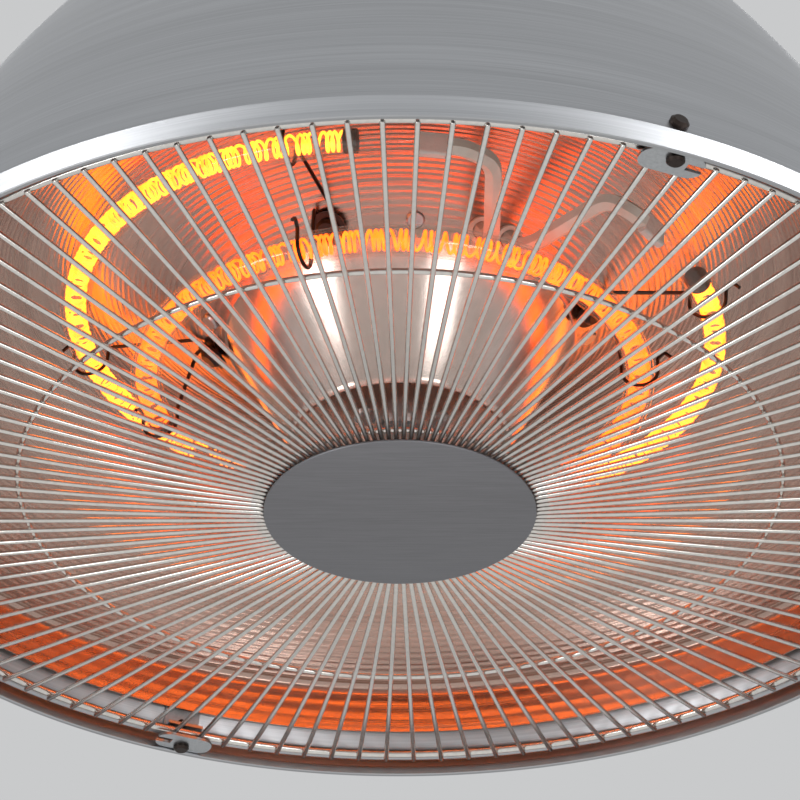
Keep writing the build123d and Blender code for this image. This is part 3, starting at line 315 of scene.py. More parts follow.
def grained_finish(name, dark, light, metallic, roughness, grain, bump, coat):
    """A metal, ceramic or moulded finish: two tones, uneven gloss and a fine even relief."""
    material, tree, output = empty_material(name)
    place = add_node(tree, "ShaderNodeTexCoord")
    speckle = add_node(tree, "ShaderNodeTexNoise", {"noise_dimensions": "3D"},
                       {"Vector": place.outputs["Object"], "Scale": 1.0 / grain,
                        "Detail": 4.0, "Roughness": 0.6})
    tone = add_node(tree, "ShaderNodeMix", {"data_type": "RGBA"},
                    {0: speckle.outputs[0], 6: hex_colour(dark), 7: hex_colour(light)})
    gloss = add_node(tree, "ShaderNodeMapRange", {},
                     {"Value": speckle.outputs[0], "To Min": roughness * 0.75,
                      "To Max": roughness * 1.25})
    relief = add_node(tree, "ShaderNodeBump", {},
                      {"Strength": 0.3, "Distance": bump, "Height": speckle.outputs[0]})
    shader = add_node(tree, "ShaderNodeBsdfPrincipled", {},
                      {"Base Color": tone.outputs[2], "Metallic": metallic,
                       "Roughness": gloss.outputs[0], "Coat Weight": coat,
                       "Normal": relief.outputs[0]})
    tree.links.new(shader.outputs[0], output.inputs["Surface"])
    return material


def brushed_disc():
    # Steel sheet, brushed straight across before it was stamped: dark satin grey with
    # lines from side to side. The lines are drawn 0.5 mm apart, coarser than real ones.
    material, tree, output = empty_material("brushed steel disc, dark satin")
    place = add_node(tree, "ShaderNodeTexCoord")
    drawn_out = add_node(tree, "ShaderNodeMapping", {},
                         {"Vector": place.outputs["Object"], "Scale": (0.03, 1.0, 1.0)})
    lines = add_node(tree, "ShaderNodeTexNoise", {"noise_dimensions": "3D"},
                     {"Vector": drawn_out.outputs[0], "Scale": 1.0 / LINE_PITCH,
                      "Detail": 4.0, "Roughness": 0.6})
    tone = add_node(tree, "ShaderNodeMix", {"data_type": "RGBA"},
                    {0: lines.outputs[0], 6: hex_colour("717175"), 7: hex_colour("939397")})
    gloss = add_node(tree, "ShaderNodeMapRange", {},
                     {"Value": lines.outputs[0], "To Min": 0.34, "To Max": 0.48})
    relief = add_node(tree, "ShaderNodeBump", {},
                      {"Strength": 0.3, "Distance": 0.03 * MM, "Height": lines.outputs[0]})
    shader = add_node(tree, "ShaderNodeBsdfPrincipled", {},
                      {"Base Color": tone.outputs[2], "Metallic": 1.0,
                       "Roughness": gloss.outputs[0], "Normal": relief.outputs[0]})
    tree.links.new(shader.outputs[0], output.inputs["Surface"])
    return material


def clear_quartz():
    # Fused quartz tube, drawn clear: light goes straight through, and only the edges
    # and the highlights show, with faint drawing lines.
    material, tree, output = empty_material("fused quartz, clear")
    place = add_node(tree, "ShaderNodeTexCoord")
    ripple = add_node(tree, "ShaderNodeTexNoise", {"noise_dimensions": "3D"},
                      {"Vector": place.outputs["Object"], "Scale": 1.0 / (8.0 * MM)})
    relief = add_node(tree, "ShaderNodeBump", {},
                      {"Strength": 0.2, "Distance": 0.1 * MM, "Height": ripple.outputs[0]})
    tilt = add_node(tree, "ShaderNodeLayerWeight", {}, {"Blend": 0.5, "Normal": relief.outputs[0]})
    grazing = add_node(tree, "ShaderNodeMath", {"operation": "POWER"},
                       {0: tilt.outputs["Facing"], 1: 4.0})
    edge = add_node(tree, "ShaderNodeMath", {"operation": "MULTIPLY_ADD"},
                    {0: grazing.outputs[0], 1: 0.5, 2: 0.035})
    clear = add_node(tree, "ShaderNodeBsdfTransparent", {}, {"Color": hex_colour("FBFAF8")})
    shine = add_node(tree, "ShaderNodeBsdfAnisotropic", {},
                     {"Color": hex_colour("FFFFFF"), "Roughness": 0.06,
                      "Normal": relief.outputs[0]})
    both = add_node(tree, "ShaderNodeMixShader", {},
                    {0: edge.outputs[0], 1: clear.outputs[0], 2: shine.outputs[0]})
    tree.links.new(both.outputs[0], output.inputs["Surface"])
    return material


def pinched_quartz():
    # Fused quartz pressed flat while hot: thick, clear and crystalline, with ripples
    # about 2 mm wide that catch the light.
    material, tree, output = empty_material("fused quartz, pinched")
    place = add_node(tree, "ShaderNodeTexCoord")
    ripple = add_node(tree, "ShaderNodeTexNoise", {"noise_dimensions": "3D"},
                      {"Vector": place.outputs["Object"], "Scale": 1.0 / (2.0 * MM),
                       "Detail": 2.0})
    relief = add_node(tree, "ShaderNodeBump", {},
                      {"Strength": 0.6, "Distance": 0.6 * MM, "Height": ripple.outputs[0]})
    shader = add_node(tree, "ShaderNodeBsdfPrincipled", {},
                      {"Base Color": hex_colour("F4EEE8"), "Roughness": 0.12, "IOR": 1.46,
                       "Transmission Weight": 0.35, "Normal": relief.outputs[0]})
    tree.links.new(shader.outputs[0], output.inputs["Surface"])
    return material


def glowing_wire(name, cool, hot, strength):
    # Resistance wire, wound and red to yellow hot: it gives its own light, and the
    # turns differ a little in heat every few millimetres.
    material, tree, output = empty_material(name)
    place = add_node(tree, "ShaderNodeTexCoord")
    heat = add_node(tree, "ShaderNodeTexNoise", {"noise_dimensions": "3D"},
                    {"Vector": place.outputs["Object"], "Scale": 1.0 / (7.0 * MM),
                     "Detail": 2.0})
    spread = add_node(tree, "ShaderNodeMapRange", {},
                      {"Value": heat.outputs[0], "From Min": 0.3, "From Max": 0.7})
    tone = add_node(tree, "ShaderNodeMix", {"data_type": "RGBA"},
                    {0: spread.outputs[0], 6: hex_colour(cool), 7: tuple(hot)})
    shader = add_node(tree, "ShaderNodeBsdfPrincipled", {},
                      {"Base Color": hex_colour("5A3A28"), "Roughness": 0.6,
                       "Emission Color": tone.outputs[2], "Emission Strength": strength})
    tree.links.new(shader.outputs[0], output.inputs["Surface"])
    return material


def woven_sleeve():
    # Glass-fibre braid soaked in silicone: matt grey-beige, with a weave of about
    # 0.8 mm that is drawn at 1.2 mm, so that it shows.
    material, tree, output = empty_material("silicone glass-fibre sleeve")
    place = add_node(tree, "ShaderNodeTexCoord")
    weave = add_node(tree, "ShaderNodeTexVoronoi", {},
                     {"Vector": place.outputs["Object"], "Scale": 1.0 / (1.2 * MM)})
    soil = add_node(tree, "ShaderNodeTexNoise", {"noise_dimensions": "3D"},
                    {"Vector": place.outputs["Object"], "Scale": 1.0 / (9.0 * MM)})
    tone = add_node(tree, "ShaderNodeMix", {"data_type": "RGBA"},
                    {0: soil.outputs[0], 6: hex_colour("C4B9AC"), 7: hex_colour("E8E1D8")})
    relief = add_node(tree, "ShaderNodeBump", {},
                      {"Strength": 0.5, "Distance": 0.15 * MM, "Height": weave.outputs[0]})
    shader = add_node(tree, "ShaderNodeBsdfPrincipled", {},
                      {"Base Color": tone.outputs[2], "Roughness": 0.62,
                       "Normal": relief.outputs[0]})
    tree.links.new(shader.outputs[0], output.inputs["Surface"])
    return material


def make_finishes(shade, reflector, lamps):
    """All the finishes of the heater, by their short names."""
    return {
        "spun": spun_aluminium(tuple(shade.shade_colour)),
        "reflector": grooved_reflector(tuple(reflector.reflector_painted_glow_tint), reflector.groove_pitch),
        # Aluminium pressed smooth and anodised: a satin mirror with broad soft highlights. The
        # warm beige of both tones is painted reflection of the lamps' glow on silver metal.
        "cone": grained_finish("pressed reflector aluminium, anodised", "D8C8BE", "EFE3DB",
                            1.0, 0.2, 3.0 * MM, 0.02 * MM, 0.0),
        "outer_glow": glowing_wire("heating wire, yellow hot", "FF6614",
                                   lamps.outer_colour, lamps.outer_glow),
        "inner_glow": glowing_wire("heating wire, orange hot", "FF4C0A",
                                   lamps.inner_colour, lamps.inner_glow),
        # Steel wire drawn and nickel plated: bright, with a slight haze along it.
        "wire": grained_finish("drawn steel wire, nickel plated", "C4C1BC", "EDEAE6",
                            1.0, 0.2, 1.5 * MM, 0.02 * MM, 0.0),
        # Steel turned or pressed and zinc plated: pale bluish grey, half bright.
        "plated": grained_finish("turned steel, zinc plated", "9EA2A6", "C9CCCF",
                              1.0, 0.32, 1.0 * MM, 0.02 * MM, 0.0),
        # Spring steel wire, blued by heat: dark brown-black with dull highlights.
        "blued": grained_finish("spring steel, heat blued", "2C2624", "4B423E",
                             1.0, 0.38, 0.8 * MM, 0.03 * MM, 0.0),
        "disc": brushed_disc(),
        "quartz": clear_quartz(),
        "pinch": pinched_quartz(),
        # Steatite, pressed and fired without glaze: matt, off-white, faintly speckled.
        "white_ceramic": grained_finish("steatite, unglazed", "D8D2C6", "EDE8DE",
                                     0.0, 0.55, 0.6 * MM, 0.05 * MM, 0.0),
        # Cordierite support disc, fired dark: matt brown-grey.
        "dark_ceramic": grained_finish("cordierite, fired dark", "4A3E36", "6B5B50",
                                    0.0, 0.7, 0.5 * MM, 0.06 * MM, 0.0),
        "sleeve": woven_sleeve(),
        # Brass, turned and left bare: warm yellow, slightly dulled.
        "brass": grained_finish("turned brass", "A88640", "D0AE62",
                             1.0, 0.3, 0.8 * MM, 0.02 * MM, 0.0),
        # Polyamide, injection moulded with a fine spark texture: dull black.
        "polyamide": grained_finish("black polyamide, moulded", "141414", "222222",
                                 0.0, 0.5, 0.4 * MM, 0.05 * MM, 0.0),
        # EPDM rubber, moulded: soft black without gloss.
        "rubber": grained_finish("black rubber, moulded", "161514", "262423",
                              0.0, 0.75, 0.5 * MM, 0.04 * MM, 0.0),
    }


# CAD nodes that keep their own shape, by finish.
NODE_FINISHES = {
    "plated": (
        "cone_rivets", "cone_screws", "heat_shield", "shield_posts", "guard_clips",
        "guard_brackets", "centre_rod", "rod_washers", "rod_nuts", "spacer_tube",
        "crown_plate", "crown_screws", "crown_nuts", "eye_washer", "eye_nut", "hanging_link",
        "snap_hook", "gate_pin", "snap_gate",
    ),
    # The floor plate takes the reflector's finish, with its painted reflection of the lamps' glow.
    "reflector": ("cone_floor_plate",),
    "pinch": ("outer_tube_ends", "inner_tube_ends"),
    "dark_ceramic": ("outer_tube_supports", "inner_tube_supports", "thermal_cutout"),
    "sleeve": ("lead_sleeves", "lead_wires"),
    "white_ceramic": ("lead_grommets", "terminal_block"),
    "blued": (
        "tube_clips", "clip_washers", "clip_screws", "clip_nuts", "guard_clip_screws",
        "shade_screws",
    ),
    "brass": ("terminal_screws", "earth_screw"),
    "spun": ("top_cap",),
    "polyamide": ("cable_gland", "gland_nut"),
    "rubber": ("gland_seal",),
}

finishes = {}


# Settings

def length(name, description, millimetres):
    """A length of a piece, stated in millimetres and kept in metres."""
    return FloatProperty(name=name, description=description, default=millimetres * MM,
                         unit="LENGTH")


class ShadeSettings(bpy.types.PropertyGroup):
    """Sizes of the spun shade, heights counted from its lower edge."""

    rim_radius: length("Rim radius", "Outer radius of the skirt", 212.5)
    skirt_height: length("Skirt height", "Height of the upright skirt", 8.0)
    skirt_step: length("Skirt step", "How far the wall stands in above it", 0.9)
    step_rise: length("Step rise", "Height over which the wall stands in", 0.6)
    hem_height: length("Hem height", "Height of the hem turned in at the edge", 3.5)
    hem: length("Hem", "Thickness that the hem adds inside", 0.9)
    edge: length("Edge", "Softness of the hem's bent edges", 0.35)
    foot_lean: FloatProperty(name="Wall lean", description="Lean of the straight foot of the wall",
                             default=radians(19.3), subtype="ANGLE")
    foot_top: length("Straight top", "Where the straight foot ends", 22.0)
    shoulder_radius: length("Shoulder radius", "Radius at the shoulder", 143.0)
    shoulder_height: length("Shoulder height", "Height of the shoulder", 148.0)
    crown_radius: length("Crown radius", "Radius of the flat crown", 62.0)
    crown_height: length("Crown height", "Height of the flat crown", 190.627)
    crown_hole: length("Crown hole", "Radius of the hole in the crown", 24.0)
    sheet: length("Sheet", "Thickness of the shade's sheet", 1.0)
    shade_colour: FloatVectorProperty(name="Shade colour", description="Light tone of the shade",
                                      default=hex_colour("DADCDF"), size=4, subtype="COLOR")


class ReflectorSettings(bpy.types.PropertyGroup):
    """Sizes of the trough reflector and of its centre cone."""

    trough_radius: length("Trough radius", "Radius of the trough's section", 86.0)
    trough_place: length("Trough place", "Distance of its centre from the axis", 119.5)
    trough_level: length("Trough level", "Height of the centre of its section", -1.5)
    dish_outer: length("Dish outer radius", "Where the trough meets the bead", 197.6)
    dish_inner: length("Dish inner radius", "Where the dish ends inside", 62.0)
    flange_radius: length("Flange radius", "Radius of the upright flange", 201.5)
    flange_foot: length("Flange foot", "Lower edge of the flange", 14.0)
    flange_top: length("Flange top", "Upper edge of the flange", 29.5)
    bead_depth: length("Bead depth", "How far the bead bulges", 1.6)
    lap_outer: length("Lap outer radius", "Where the cone's lap on the dish starts", 74.0)
    lap_inner: length("Lap inner radius", "Where the cone leaves the dish", 61.2)
    cone_foot_radius: length("Cone foot radius", "Radius of the cone's foot", 38.2)
    cone_foot_height: length("Cone foot height", "Height of the cone's foot", 19.0)
    cone_lip: length("Cone lip", "Width of the lip round the cone's floor", 2.0)
    cone_floor: length("Cone floor", "Height of the recessed floor", 24.0)
    cone_hole: length("Cone hole", "Radius of the rod's hole in the floor", 4.3)
    sheet: length("Sheet", "Thickness of the reflector's sheet", 0.6)
    groove_pitch: length("Groove pitch", "Distance between the dish's grooves", 1.8)
    # The salmon tint of this colour is painted reflection of the lamps' glow on silver metal.
    reflector_painted_glow_tint: FloatVectorProperty(name="Reflector colour",
                                          description="Light tone of the reflector",
                                          default=hex_colour("D2B9AC"), size=4, subtype="COLOR")


class GuardSettings(bpy.types.PropertyGroup):
    """Sizes of the welded wire guard."""

    wire_count: IntProperty(name="Wires", description="Number of straight wires", default=120)
    wire_radius: length("Wire radius", "Radius of the straight wires", 0.9)
    start_azimuth: FloatProperty(name="First wire", description="Azimuth of the first wire",
                                 default=radians(1.5), subtype="ANGLE")
    inner_radius: length("Inner end", "Radius at the wires' inner ends", 43.0)
    outer_radius: length("Outer end", "Radius at the wires' outer ends", 205.5)
    inner_height: length("Inner height", "Height at the wires' inner ends", -9.0)
    slope: FloatProperty(name="Slope", description="Rise of the wires for each unit outwards",
                         default=0.0767)
    hoop_radius: length("Hoop radius", "Radius of the outer hoop", 204.0)
    hoop_wire: length("Hoop wire", "Wire radius of the outer hoop", 1.5)
    middle_radius: length("Middle ring", "Radius of the middle ring", 131.8)
    middle_wire: length("Middle wire", "Wire radius of the middle ring", 1.0)
    hub_radius: length("Hub ring", "Radius of the ring round the disc", 48.6)
    hub_wire: length("Hub wire", "Wire radius of the ring round the disc", 0.9)
    disc_radius: length("Disc radius", "Radius of the centre disc", 47.0)
    disc_foot: length("Disc foot", "Height of the disc's lower face", -10.6)
    disc_thickness: length("Disc thickness", "Thickness of the disc", 1.2)


class LampSettings(bpy.types.PropertyGroup):
    """Sizes and glow of the two ring-shaped heat lamps."""

    tube_radius: length("Tube radius", "Outer radius of the glass", 5.5)
    tube_wall: length("Tube wall", "Thickness of the glass", 1.0)
    coil_radius: length("Coil radius", "Radius of the coil to its wire", 3.3)
    coil_wire: length("Coil wire", "Radius of the heating wire", 0.55)
    outer_turns: IntProperty(name="Outer turns", description="Turns of the outer coil",
                             default=215)
    inner_turns: IntProperty(name="Inner turns", description="Turns of the inner coil",
                             default=150)
    outer_glow: FloatProperty(name="Outer glow", description="Strength of the outer coil's light",
                              default=6.5)
    inner_glow: FloatProperty(name="Inner glow", description="Strength of the inner coil's light",
                              default=5.0)
    outer_colour: FloatVectorProperty(name="Outer colour", description="Hottest outer turns",
                                      default=hex_colour("FF8A22"), size=4, subtype="COLOR")
    inner_colour: FloatVectorProperty(name="Inner colour", description="Hottest inner turns",
                                      default=hex_colour("FF6612"), size=4, subtype="COLOR")


class StageSettings(bpy.types.PropertyGroup):
    """Floor, light and camera round the heater."""

    floor_level: FloatProperty(name="Floor level", description="Height of the floor",
                               default=-2.25, unit="LENGTH")
    floor_size: FloatProperty(name="Floor size", description="Side of the square floor",
                              default=12.0, unit="LENGTH")
    floor_colour: FloatVectorProperty(name="Floor colour", description="Colour of the floor",
                                      default=hex_colour("E4E3E1"), size=4, subtype="COLOR")
    camera_back: length("Camera distance", "How far the camera stands off", 1174.0)
    camera_drop: length("Camera drop", "How far it is below the rim", 731.0)
    camera_pitch: FloatProperty(name="Camera pitch", description="How far it looks up",
                                default=radians(33.18), subtype="ANGLE")
    focal_length: FloatProperty(name="Focal length", description="In millimetres of a 36 mm frame",
                                default=180.0)


# Operators

class HEATER_OT_finishes(bpy.types.Operator):
    """Make the finishes and put them on the CAD nodes that keep their shape"""

    bl_idname = "heater.finishes"
    bl_label = "Finishes"

    def execute(self, context):
        scene = context.scene
        finishes.update(make_finishes(scene.heater_shade, scene.heater_reflector,
                                      scene.heater_lamps))
        for finish, names in NODE_FINISHES.items():
            for name in names:
                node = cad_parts[name]
                if not node.material_slots:
                    node.data.materials.append(finishes[finish])
                for slot in node.material_slots:
                    slot.material = finishes[finish]
        return {"FINISHED"}


class HEATER_OT_shade(bpy.types.Operator):
    """Spin the shade from its section, with the hem turned in at its lower edge"""

    bl_idname = "heater.shade"
    bl_label = "Shade"

    def execute(self, context):
        shade = context.scene.heater_shade
        soft = shade.edge
        wall_radius = shade.rim_radius - shade.skirt_step
        wall_foot = shade.skirt_height + shade.step_rise
        lean_in = (shade.foot_top - wall_foot) * tan(shade.foot_lean)
        outside = [
            (shade.rim_radius - soft, 0.0),
            (shade.rim_radius, soft),
            (shade.rim_radius, shade.skirt_height),
            (wall_radius, wall_foot),
            (wall_radius - lean_in, shade.foot_top),
        ]
        heading = (-sin(shade.foot_lean), cos(shade.foot_lean))
        wall, heading = tangent_arc(outside[-1], heading,
                                    (shade.shoulder_radius, shade.shoulder_height), 36)
        outside += wall
        crown, _ = tangent_arc(outside[-1], heading,
                               (shade.crown_radius, shade.crown_height), 24)
        outside += crown
        outside.append((shade.crown_hole, shade.crown_height))
        inside = sheet_section(outside[2:], -shade.sheet)[len(outside) - 2:]
        hem_radius = shade.rim_radius - shade.sheet - shade.hem
        inside += [
            (shade.rim_radius - shade.sheet, shade.hem_height + soft),
            (hem_radius + soft, shade.hem_height),
            (hem_radius, shade.hem_height - soft),
            (hem_radius, soft),
            (hem_radius + soft, 0.0),
        ]
        vertices, faces = spun_mesh(outside + inside, SPUN_STEPS)
        new_piece("shade_wall", vertices, faces, radians(35), "heater",
                  finishes["spun"], ["outer_shade"])
        return {"FINISHED"}


class HEATER_OT_reflector(bpy.types.Operator):
    """Spin the grooved trough reflector, its bead and its upright flange"""

    bl_idname = "heater.reflector"
    bl_label = "Reflector"

    def execute(self, context):
        dish = context.scene.heater_reflector
        centre = (dish.trough_place, dish.trough_level)
        start = acos((dish.dish_outer - centre[0]) / dish.trough_radius)
        end = acos((dish.dish_inner - centre[0]) / dish.trough_radius)
        trough = arc_points(centre, dish.trough_radius, start, end, 84)
        foot = (dish.flange_radius, dish.flange_top)
        middle = (Vector(foot) + Vector(trough[0])) / 2.0
        bead = []
        outward, upward = 0.8, 0.6
        for step in range(1, 6):
            share = step / 6.0
            straight = Vector(foot).lerp(Vector(trough[0]), share)
            bulge = sin(pi * share) * dish.bead_depth
            bead.append((straight.x + bulge * outward, straight.y + bulge * upward))
        face = [(dish.flange_radius, dish.flange_foot), (dish.flange_radius, middle.y - 6.0 * MM),
                foot] + bead + trough
        vertices, faces = spun_mesh(sheet_section(face, dish.sheet), SPUN_STEPS)
        new_piece("dish_reflector", vertices, faces, radians(40), "heater",
                  finishes["reflector"], ["reflector"])
        return {"FINISHED"}


class HEATER_OT_cone(bpy.types.Operator):
    """Spin the centre cone with its lap, foot, lip and recessed floor"""

    bl_idname = "heater.cone"
    bl_label = "Centre cone"

    def execute(self, context):
        cone = context.scene.heater_reflector
        centre = (cone.trough_place, cone.trough_level)
        lap_radius = cone.trough_radius + cone.sheet
        lap_start = acos((cone.lap_outer - centre[0]) / lap_radius)
        lap_end = acos((cone.lap_inner - centre[0]) / lap_radius)
        lap = arc_points(centre, lap_radius, lap_start, lap_end, 8)
        lip_radius = cone.cone_foot_radius - cone.cone_lip
        soft = 0.5 * MM
        face = lap + [
            (cone.cone_foot_radius + 2.0 * soft, cone.cone_foot_height + 4.0 * soft),
            (cone.cone_foot_radius + 0.4 * soft, cone.cone_foot_height + soft),
            (cone.cone_foot_radius - soft, cone.cone_foot_height),
            (lip_radius + soft, cone.cone_foot_height),
            (lip_radius, cone.cone_foot_height + soft),
            (lip_radius, cone.cone_floor - soft),
            (lip_radius - soft, cone.cone_floor),
            (cone.cone_hole, cone.cone_floor),
        ]
        vertices, faces = spun_mesh(sheet_section(face, cone.sheet), SMALL_SPUN_STEPS)
        new_piece("centre_cone", vertices, faces, radians(35), "heater",
                  finishes["cone"], ["reflector_cone"])
        return {"FINISHED"}


class HEATER_OT_guard(bpy.types.Operator):
    """Lay the straight wires, the hoop, the two rings and the disc of the guard"""

    bl_idname = "heater.guard"
    bl_label = "Guard"

    def execute(self, context):
        guard = context.scene.heater_guard
        tip = 0.5 * MM
        parts = []
        for index in range(guard.wire_count):
            azimuth = guard.start_azimuth + 2.0 * pi * index / guard.wire_count
            stations = (guard.inner_radius, guard.inner_radius + tip,
                        guard.outer_radius - tip, guard.outer_radius)
            path = [ring_point(radius, azimuth, guard.inner_height
                               + (radius - guard.inner_radius) * guard.slope)
                    for radius in stations]
            radii = (guard.wire_radius * 0.6, guard.wire_radius, guard.wire_radius,
                     guard.wire_radius * 0.6)
            parts.append(wire_mesh(path, radii, 12, False))
        vertices, faces = joined(parts)
        new_piece("guard_straight_wires", vertices, faces, radians(50), "heater",
                  finishes["wire"], ["guard_wires"])
        rings = (
            ("guard_rim_hoop", "guard_hoop", guard.hoop_radius, guard.hoop_wire),
            ("guard_middle_hoop", "guard_mid_ring", guard.middle_radius, guard.middle_wire),
            ("guard_hub_hoop", "guard_inner_ring", guard.hub_radius, guard.hub_wire),
        )
        for name, node, radius, wire in rings:
            low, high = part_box(node)
            level = (low.z + high.z) / 2.0 - RIM
            path = [ring_point(radius, 2.0 * pi * step / SPUN_STEPS, level)
                    for step in range(SPUN_STEPS)]
            vertices, faces = wire_mesh(path, [wire] * len(path), 14, True)
            new_piece(name, vertices, faces, radians(60), "heater",
                      finishes["wire"], [node])
        edge = 0.45 * MM
        foot = guard.disc_foot
        top = foot + guard.disc_thickness
        centre_hole = 0.02 * MM
        section = [
            (centre_hole, foot),
            (guard.disc_radius - edge, foot),
            (guard.disc_radius - 0.3 * edge, foot + 0.3 * edge),
            (guard.disc_radius, foot + edge),
            (guard.disc_radius, top - edge),
            (guard.disc_radius - edge, top),
            (centre_hole, top),
        ]
        vertices, faces = spun_mesh(section, SMALL_SPUN_STEPS)
        new_piece("guard_hub_disc", vertices, faces, radians(50), "heater",
                  finishes["disc"], ["guard_disc"])
        return {"FINISHED"}


LampRing = namedtuple("LampRing", "name radius height shift tip glass_start glass_end "
                                  "coil_start coil_end")
LAMP_RINGS = (
    LampRing("outer", 113.4 * MM, 64.6 * MM, -2.0 * MM, 4.0, 53.0, 363.5, 68.5, 351.5),
    LampRing("inner", 86.7 * MM, 43.8 * MM, -2.4 * MM, 0.0, -125.0, 175.0, -106.0, 153.0),
)


class HEATER_OT_lamps(bpy.types.Operator):
    """Bend the two quartz tubes to rings and wind the heating coils inside them"""

    bl_idname = "heater.lamps"
    bl_label = "Heat lamps"

    def execute(self, context):
        lamp = context.scene.heater_lamps
        for ring, turns in zip(LAMP_RINGS, (lamp.outer_turns, lamp.inner_turns)):
            self.glass(lamp, ring)
            self.coil(lamp, ring, turns)
        return {"FINISHED"}

    def lamp_point(self, ring, azimuth):
        """A point of a lamp's ring, with the outward and the upward direction there."""
        tilt = Matrix.Rotation(radians(ring.tip), 3, "Y")
        out = tilt @ Vector((sin(azimuth), -cos(azimuth), 0.0))
        middle = Vector((ring.shift, 0.0, RIM + ring.height))
        return middle + out * ring.radius, out, tilt @ UP

    def glass(self, lamp, ring):
        """Bends one quartz tube, open inside and drawn in at both ends."""
        steps = 160
        neck = 5.0 * MM
        narrowest = 0.55
        span = ring.glass_end - ring.glass_start
        path = []
        outer_radii = []
        for step in range(steps + 1):
            azimuth = radians(ring.glass_start + span * step / steps)
            path.append(self.lamp_point(ring, azimuth)[0])
            from_end = min(step, steps - step) / steps * radians(span) * ring.radius
            share = min(from_end / neck, 1.0)
            swell = sqrt(1.0 - (1.0 - share) ** 2)
            outer_radii.append(lamp.tube_radius * (narrowest + (1.0 - narrowest) * swell))
        outer = wire_mesh(path, outer_radii, 24, False)
        inner_radii = [value - lamp.tube_wall for value in outer_radii[2:-2]]
        inner_vertices, inner_faces = wire_mesh(path[2:-2], inner_radii, 24, False)
        turned_in = [tuple(reversed(face)) for face in inner_faces]
        vertices, faces = joined([outer, (inner_vertices, turned_in)])
        new_piece(f"{ring.name}_quartz_ring", vertices, faces, radians(50), "heater",
                  finishes["quartz"], [f"{ring.name}_tube_glass"])

    def coil(self, lamp, ring, turns):
        """Winds one coil, with its turns gathered in groups of three or four."""
        steps = turns * 14
        group = 3.5
        gather = 0.6
        path = []
        for step in range(steps + 1):
            share = step / steps
            azimuth = radians(ring.coil_start + (ring.coil_end - ring.coil_start) * share)
            turned = 2.0 * pi * turns * share
            phase = turned + gather * group * sin(turned / group)
            middle, out, upward = self.lamp_point(ring, azimuth)
            path.append(middle + (out * cos(phase) + upward * sin(phase)) * lamp.coil_radius)
        vertices, faces = wire_mesh(path, [lamp.coil_wire] * len(path), 6, False)
        new_piece(f"{ring.name}_heating_coil", vertices, faces, radians(60), "heater",
                  finishes[f"{ring.name}_glow"], [f"{ring.name}_filament"])


Softbox = namedtuple("Softbox", "name place target width height watts")
SOFTBOXES = (
    Softbox("low_left_softbox", (-1.7, -1.06, -1.5), (0.0, 0.0, -0.3), 0.7, 0.5, 8.0),
    Softbox("low_right_softbox", (1.06, -1.7, -1.5), (0.0, 0.0, -0.3), 0.7, 0.5, 6.0),
    Softbox("left_softbox", (-2.1, -1.3, 0.6), (0.0, 0.0, -0.25), 1.0, 1.4, 30.0),
    Softbox("right_softbox", (2.1, -1.1, 0.7), (0.0, 0.0, -0.25), 1.0, 1.4, 30.0),
    Softbox("back_softbox", (0.0, 2.2, 1.2), (0.0, 0.0, -0.2), 1.6, 1.0, 20.0),
)


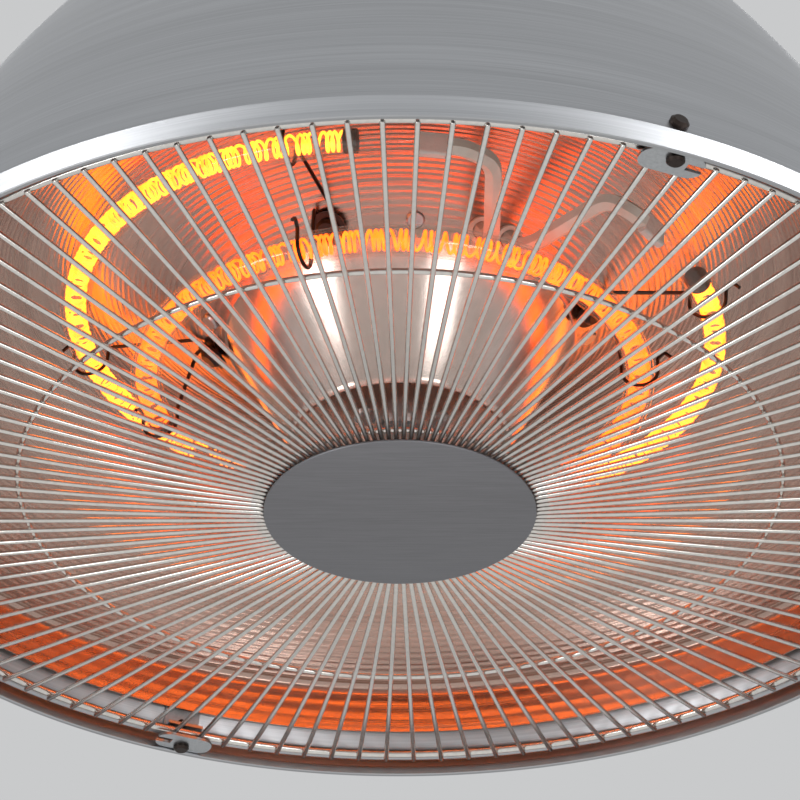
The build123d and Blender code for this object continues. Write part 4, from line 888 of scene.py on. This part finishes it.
class HEATER_OT_stage(bpy.types.Operator):
    """Lay the floor, hang the soft lights and set the camera of the main view"""

    bl_idname = "heater.stage"
    bl_label = "Stage"

    def execute(self, context):
        stage = context.scene.heater_stage
        self.floor(stage)
        self.world(context.scene)
        self.lights()
        self.camera(context.scene, stage)
        context.scene.view_settings.view_transform = "Standard"
        return {"FINISHED"}

    def floor(self, stage):
        """Lays the floor, well below the heater."""
        half = stage.floor_size / 2.0
        level = stage.floor_level
        mesh = bpy.data.meshes.new("floor")
        mesh.from_pydata([(-half, -half, level), (half, -half, level), (half, half, level),
                          (-half, half, level)], [], [(0, 1, 2, 3)])
        # Smooth pale plaster with hardly any grain.
        material, tree, output = empty_material("pale plaster floor")
        place = add_node(tree, "ShaderNodeTexCoord")
        grain = add_node(tree, "ShaderNodeTexNoise", {"noise_dimensions": "3D"},
                         {"Vector": place.outputs["Object"], "Scale": 1.0 / (4.0 * MM)})
        relief = add_node(tree, "ShaderNodeBump", {},
                          {"Strength": 0.05, "Distance": 0.2 * MM, "Height": grain.outputs[0]})
        shader = add_node(tree, "ShaderNodeBsdfPrincipled", {},
                          {"Base Color": tuple(stage.floor_colour), "Roughness": 0.8,
                           "Normal": relief.outputs[0]})
        tree.links.new(shader.outputs[0], output.inputs["Surface"])
        mesh.materials.append(material)
        floor = bpy.data.objects.new("floor", mesh)
        bpy.context.scene.collection.objects.link(floor)

    def world(self, scene):
        """Sets the light and the backdrop all round."""
        # Pale for the camera, glass and mirrors, and a softer level of light for the rest.
        world = bpy.data.worlds.new("studio")
        world.use_nodes = True
        tree = world.node_tree
        tree.nodes.clear()
        ray = add_node(tree, "ShaderNodeLightPath")
        seen = add_node(tree, "ShaderNodeMath", {"operation": "MAXIMUM"},
                        {0: ray.outputs["Is Camera Ray"], 1: ray.outputs["Is Glossy Ray"]})
        seen_all = add_node(tree, "ShaderNodeMath", {"operation": "MAXIMUM"},
                            {0: seen.outputs[0], 1: ray.outputs["Is Transmission Ray"]})
        light = add_node(tree, "ShaderNodeBackground", {},
                         {"Color": hex_colour("FFFFFF"), "Strength": 0.6})
        shown = add_node(tree, "ShaderNodeBackground", {},
                         {"Color": hex_colour("C9CACB"), "Strength": 1.0})
        either = add_node(tree, "ShaderNodeMixShader", {},
                          {0: seen_all.outputs[0], 1: light.outputs[0], 2: shown.outputs[0]})
        output = add_node(tree, "ShaderNodeOutputWorld")
        tree.links.new(either.outputs[0], output.inputs["Surface"])
        scene.world = world

    def lights(self):
        """Hangs the soft lights."""
        for box in SOFTBOXES:
            data = bpy.data.lights.new(box.name, "AREA")
            data.shape = "RECTANGLE"
            data.size = box.width
            data.size_y = box.height
            data.energy = box.watts
            light = bpy.data.objects.new(box.name, data)
            light.location = box.place
            facing = Vector(box.target) - Vector(box.place)
            light.rotation_euler = facing.to_track_quat("-Z", "Y").to_euler()
            bpy.context.scene.collection.objects.link(light)

    def camera(self, scene, stage):
        """Sets the camera below and in front, looking up."""
        data = bpy.data.cameras.new("main_view")
        data.lens = stage.focal_length
        data.sensor_width = 36.0
        camera = bpy.data.objects.new("main_view", data)
        camera.location = (0.0, -stage.camera_back, RIM - stage.camera_drop)
        camera.rotation_euler = (radians(90.0) + stage.camera_pitch, 0.0, 0.0)
        scene.collection.objects.link(camera)
        scene.camera = camera


class HEATER_PT_panel(bpy.types.Panel):
    """Lists the heater's pieces and their sizes"""

    bl_idname = "HEATER_PT_panel"
    bl_label = "Patio heater"
    bl_space_type = "VIEW_3D"
    bl_region_type = "UI"
    bl_category = "Heater"

    def draw(self, context):
        layout = self.layout
        for operator in OPERATORS:
            layout.operator(operator.bl_idname)
        for name, settings in SETTINGS.items():
            group = getattr(context.scene, name)
            box = layout.box()
            box.label(text=settings.__doc__)
            for key in settings.__annotations__:
                box.prop(group, key)


OPERATORS = (
    HEATER_OT_finishes,
    HEATER_OT_shade,
    HEATER_OT_reflector,
    HEATER_OT_cone,
    HEATER_OT_guard,
    HEATER_OT_lamps,
    HEATER_OT_stage,
)
SETTINGS = {
    "heater_shade": ShadeSettings,
    "heater_reflector": ReflectorSettings,
    "heater_guard": GuardSettings,
    "heater_lamps": LampSettings,
    "heater_stage": StageSettings,
}


def register():
    """Registers the settings, the operators and the panel."""
    for name, settings in SETTINGS.items():
        bpy.utils.register_class(settings)
        setattr(bpy.types.Scene, name, PointerProperty(type=settings))
    for cls in (*OPERATORS, HEATER_PT_panel):
        bpy.utils.register_class(cls)


def unregister():
    """Takes them out again."""
    for cls in reversed((*OPERATORS, HEATER_PT_panel)):
        bpy.utils.unregister_class(cls)
    for name, settings in reversed(SETTINGS.items()):
        delattr(bpy.types.Scene, name)
        bpy.utils.unregister_class(settings)


def main():
    """Makes every piece in order."""
    register()
    bpy.ops.heater.finishes()
    bpy.ops.heater.shade()
    bpy.ops.heater.reflector()
    bpy.ops.heater.cone()
    bpy.ops.heater.guard()
    bpy.ops.heater.lamps()
    bpy.ops.heater.stage()


if __name__ == "__main__":
    main()
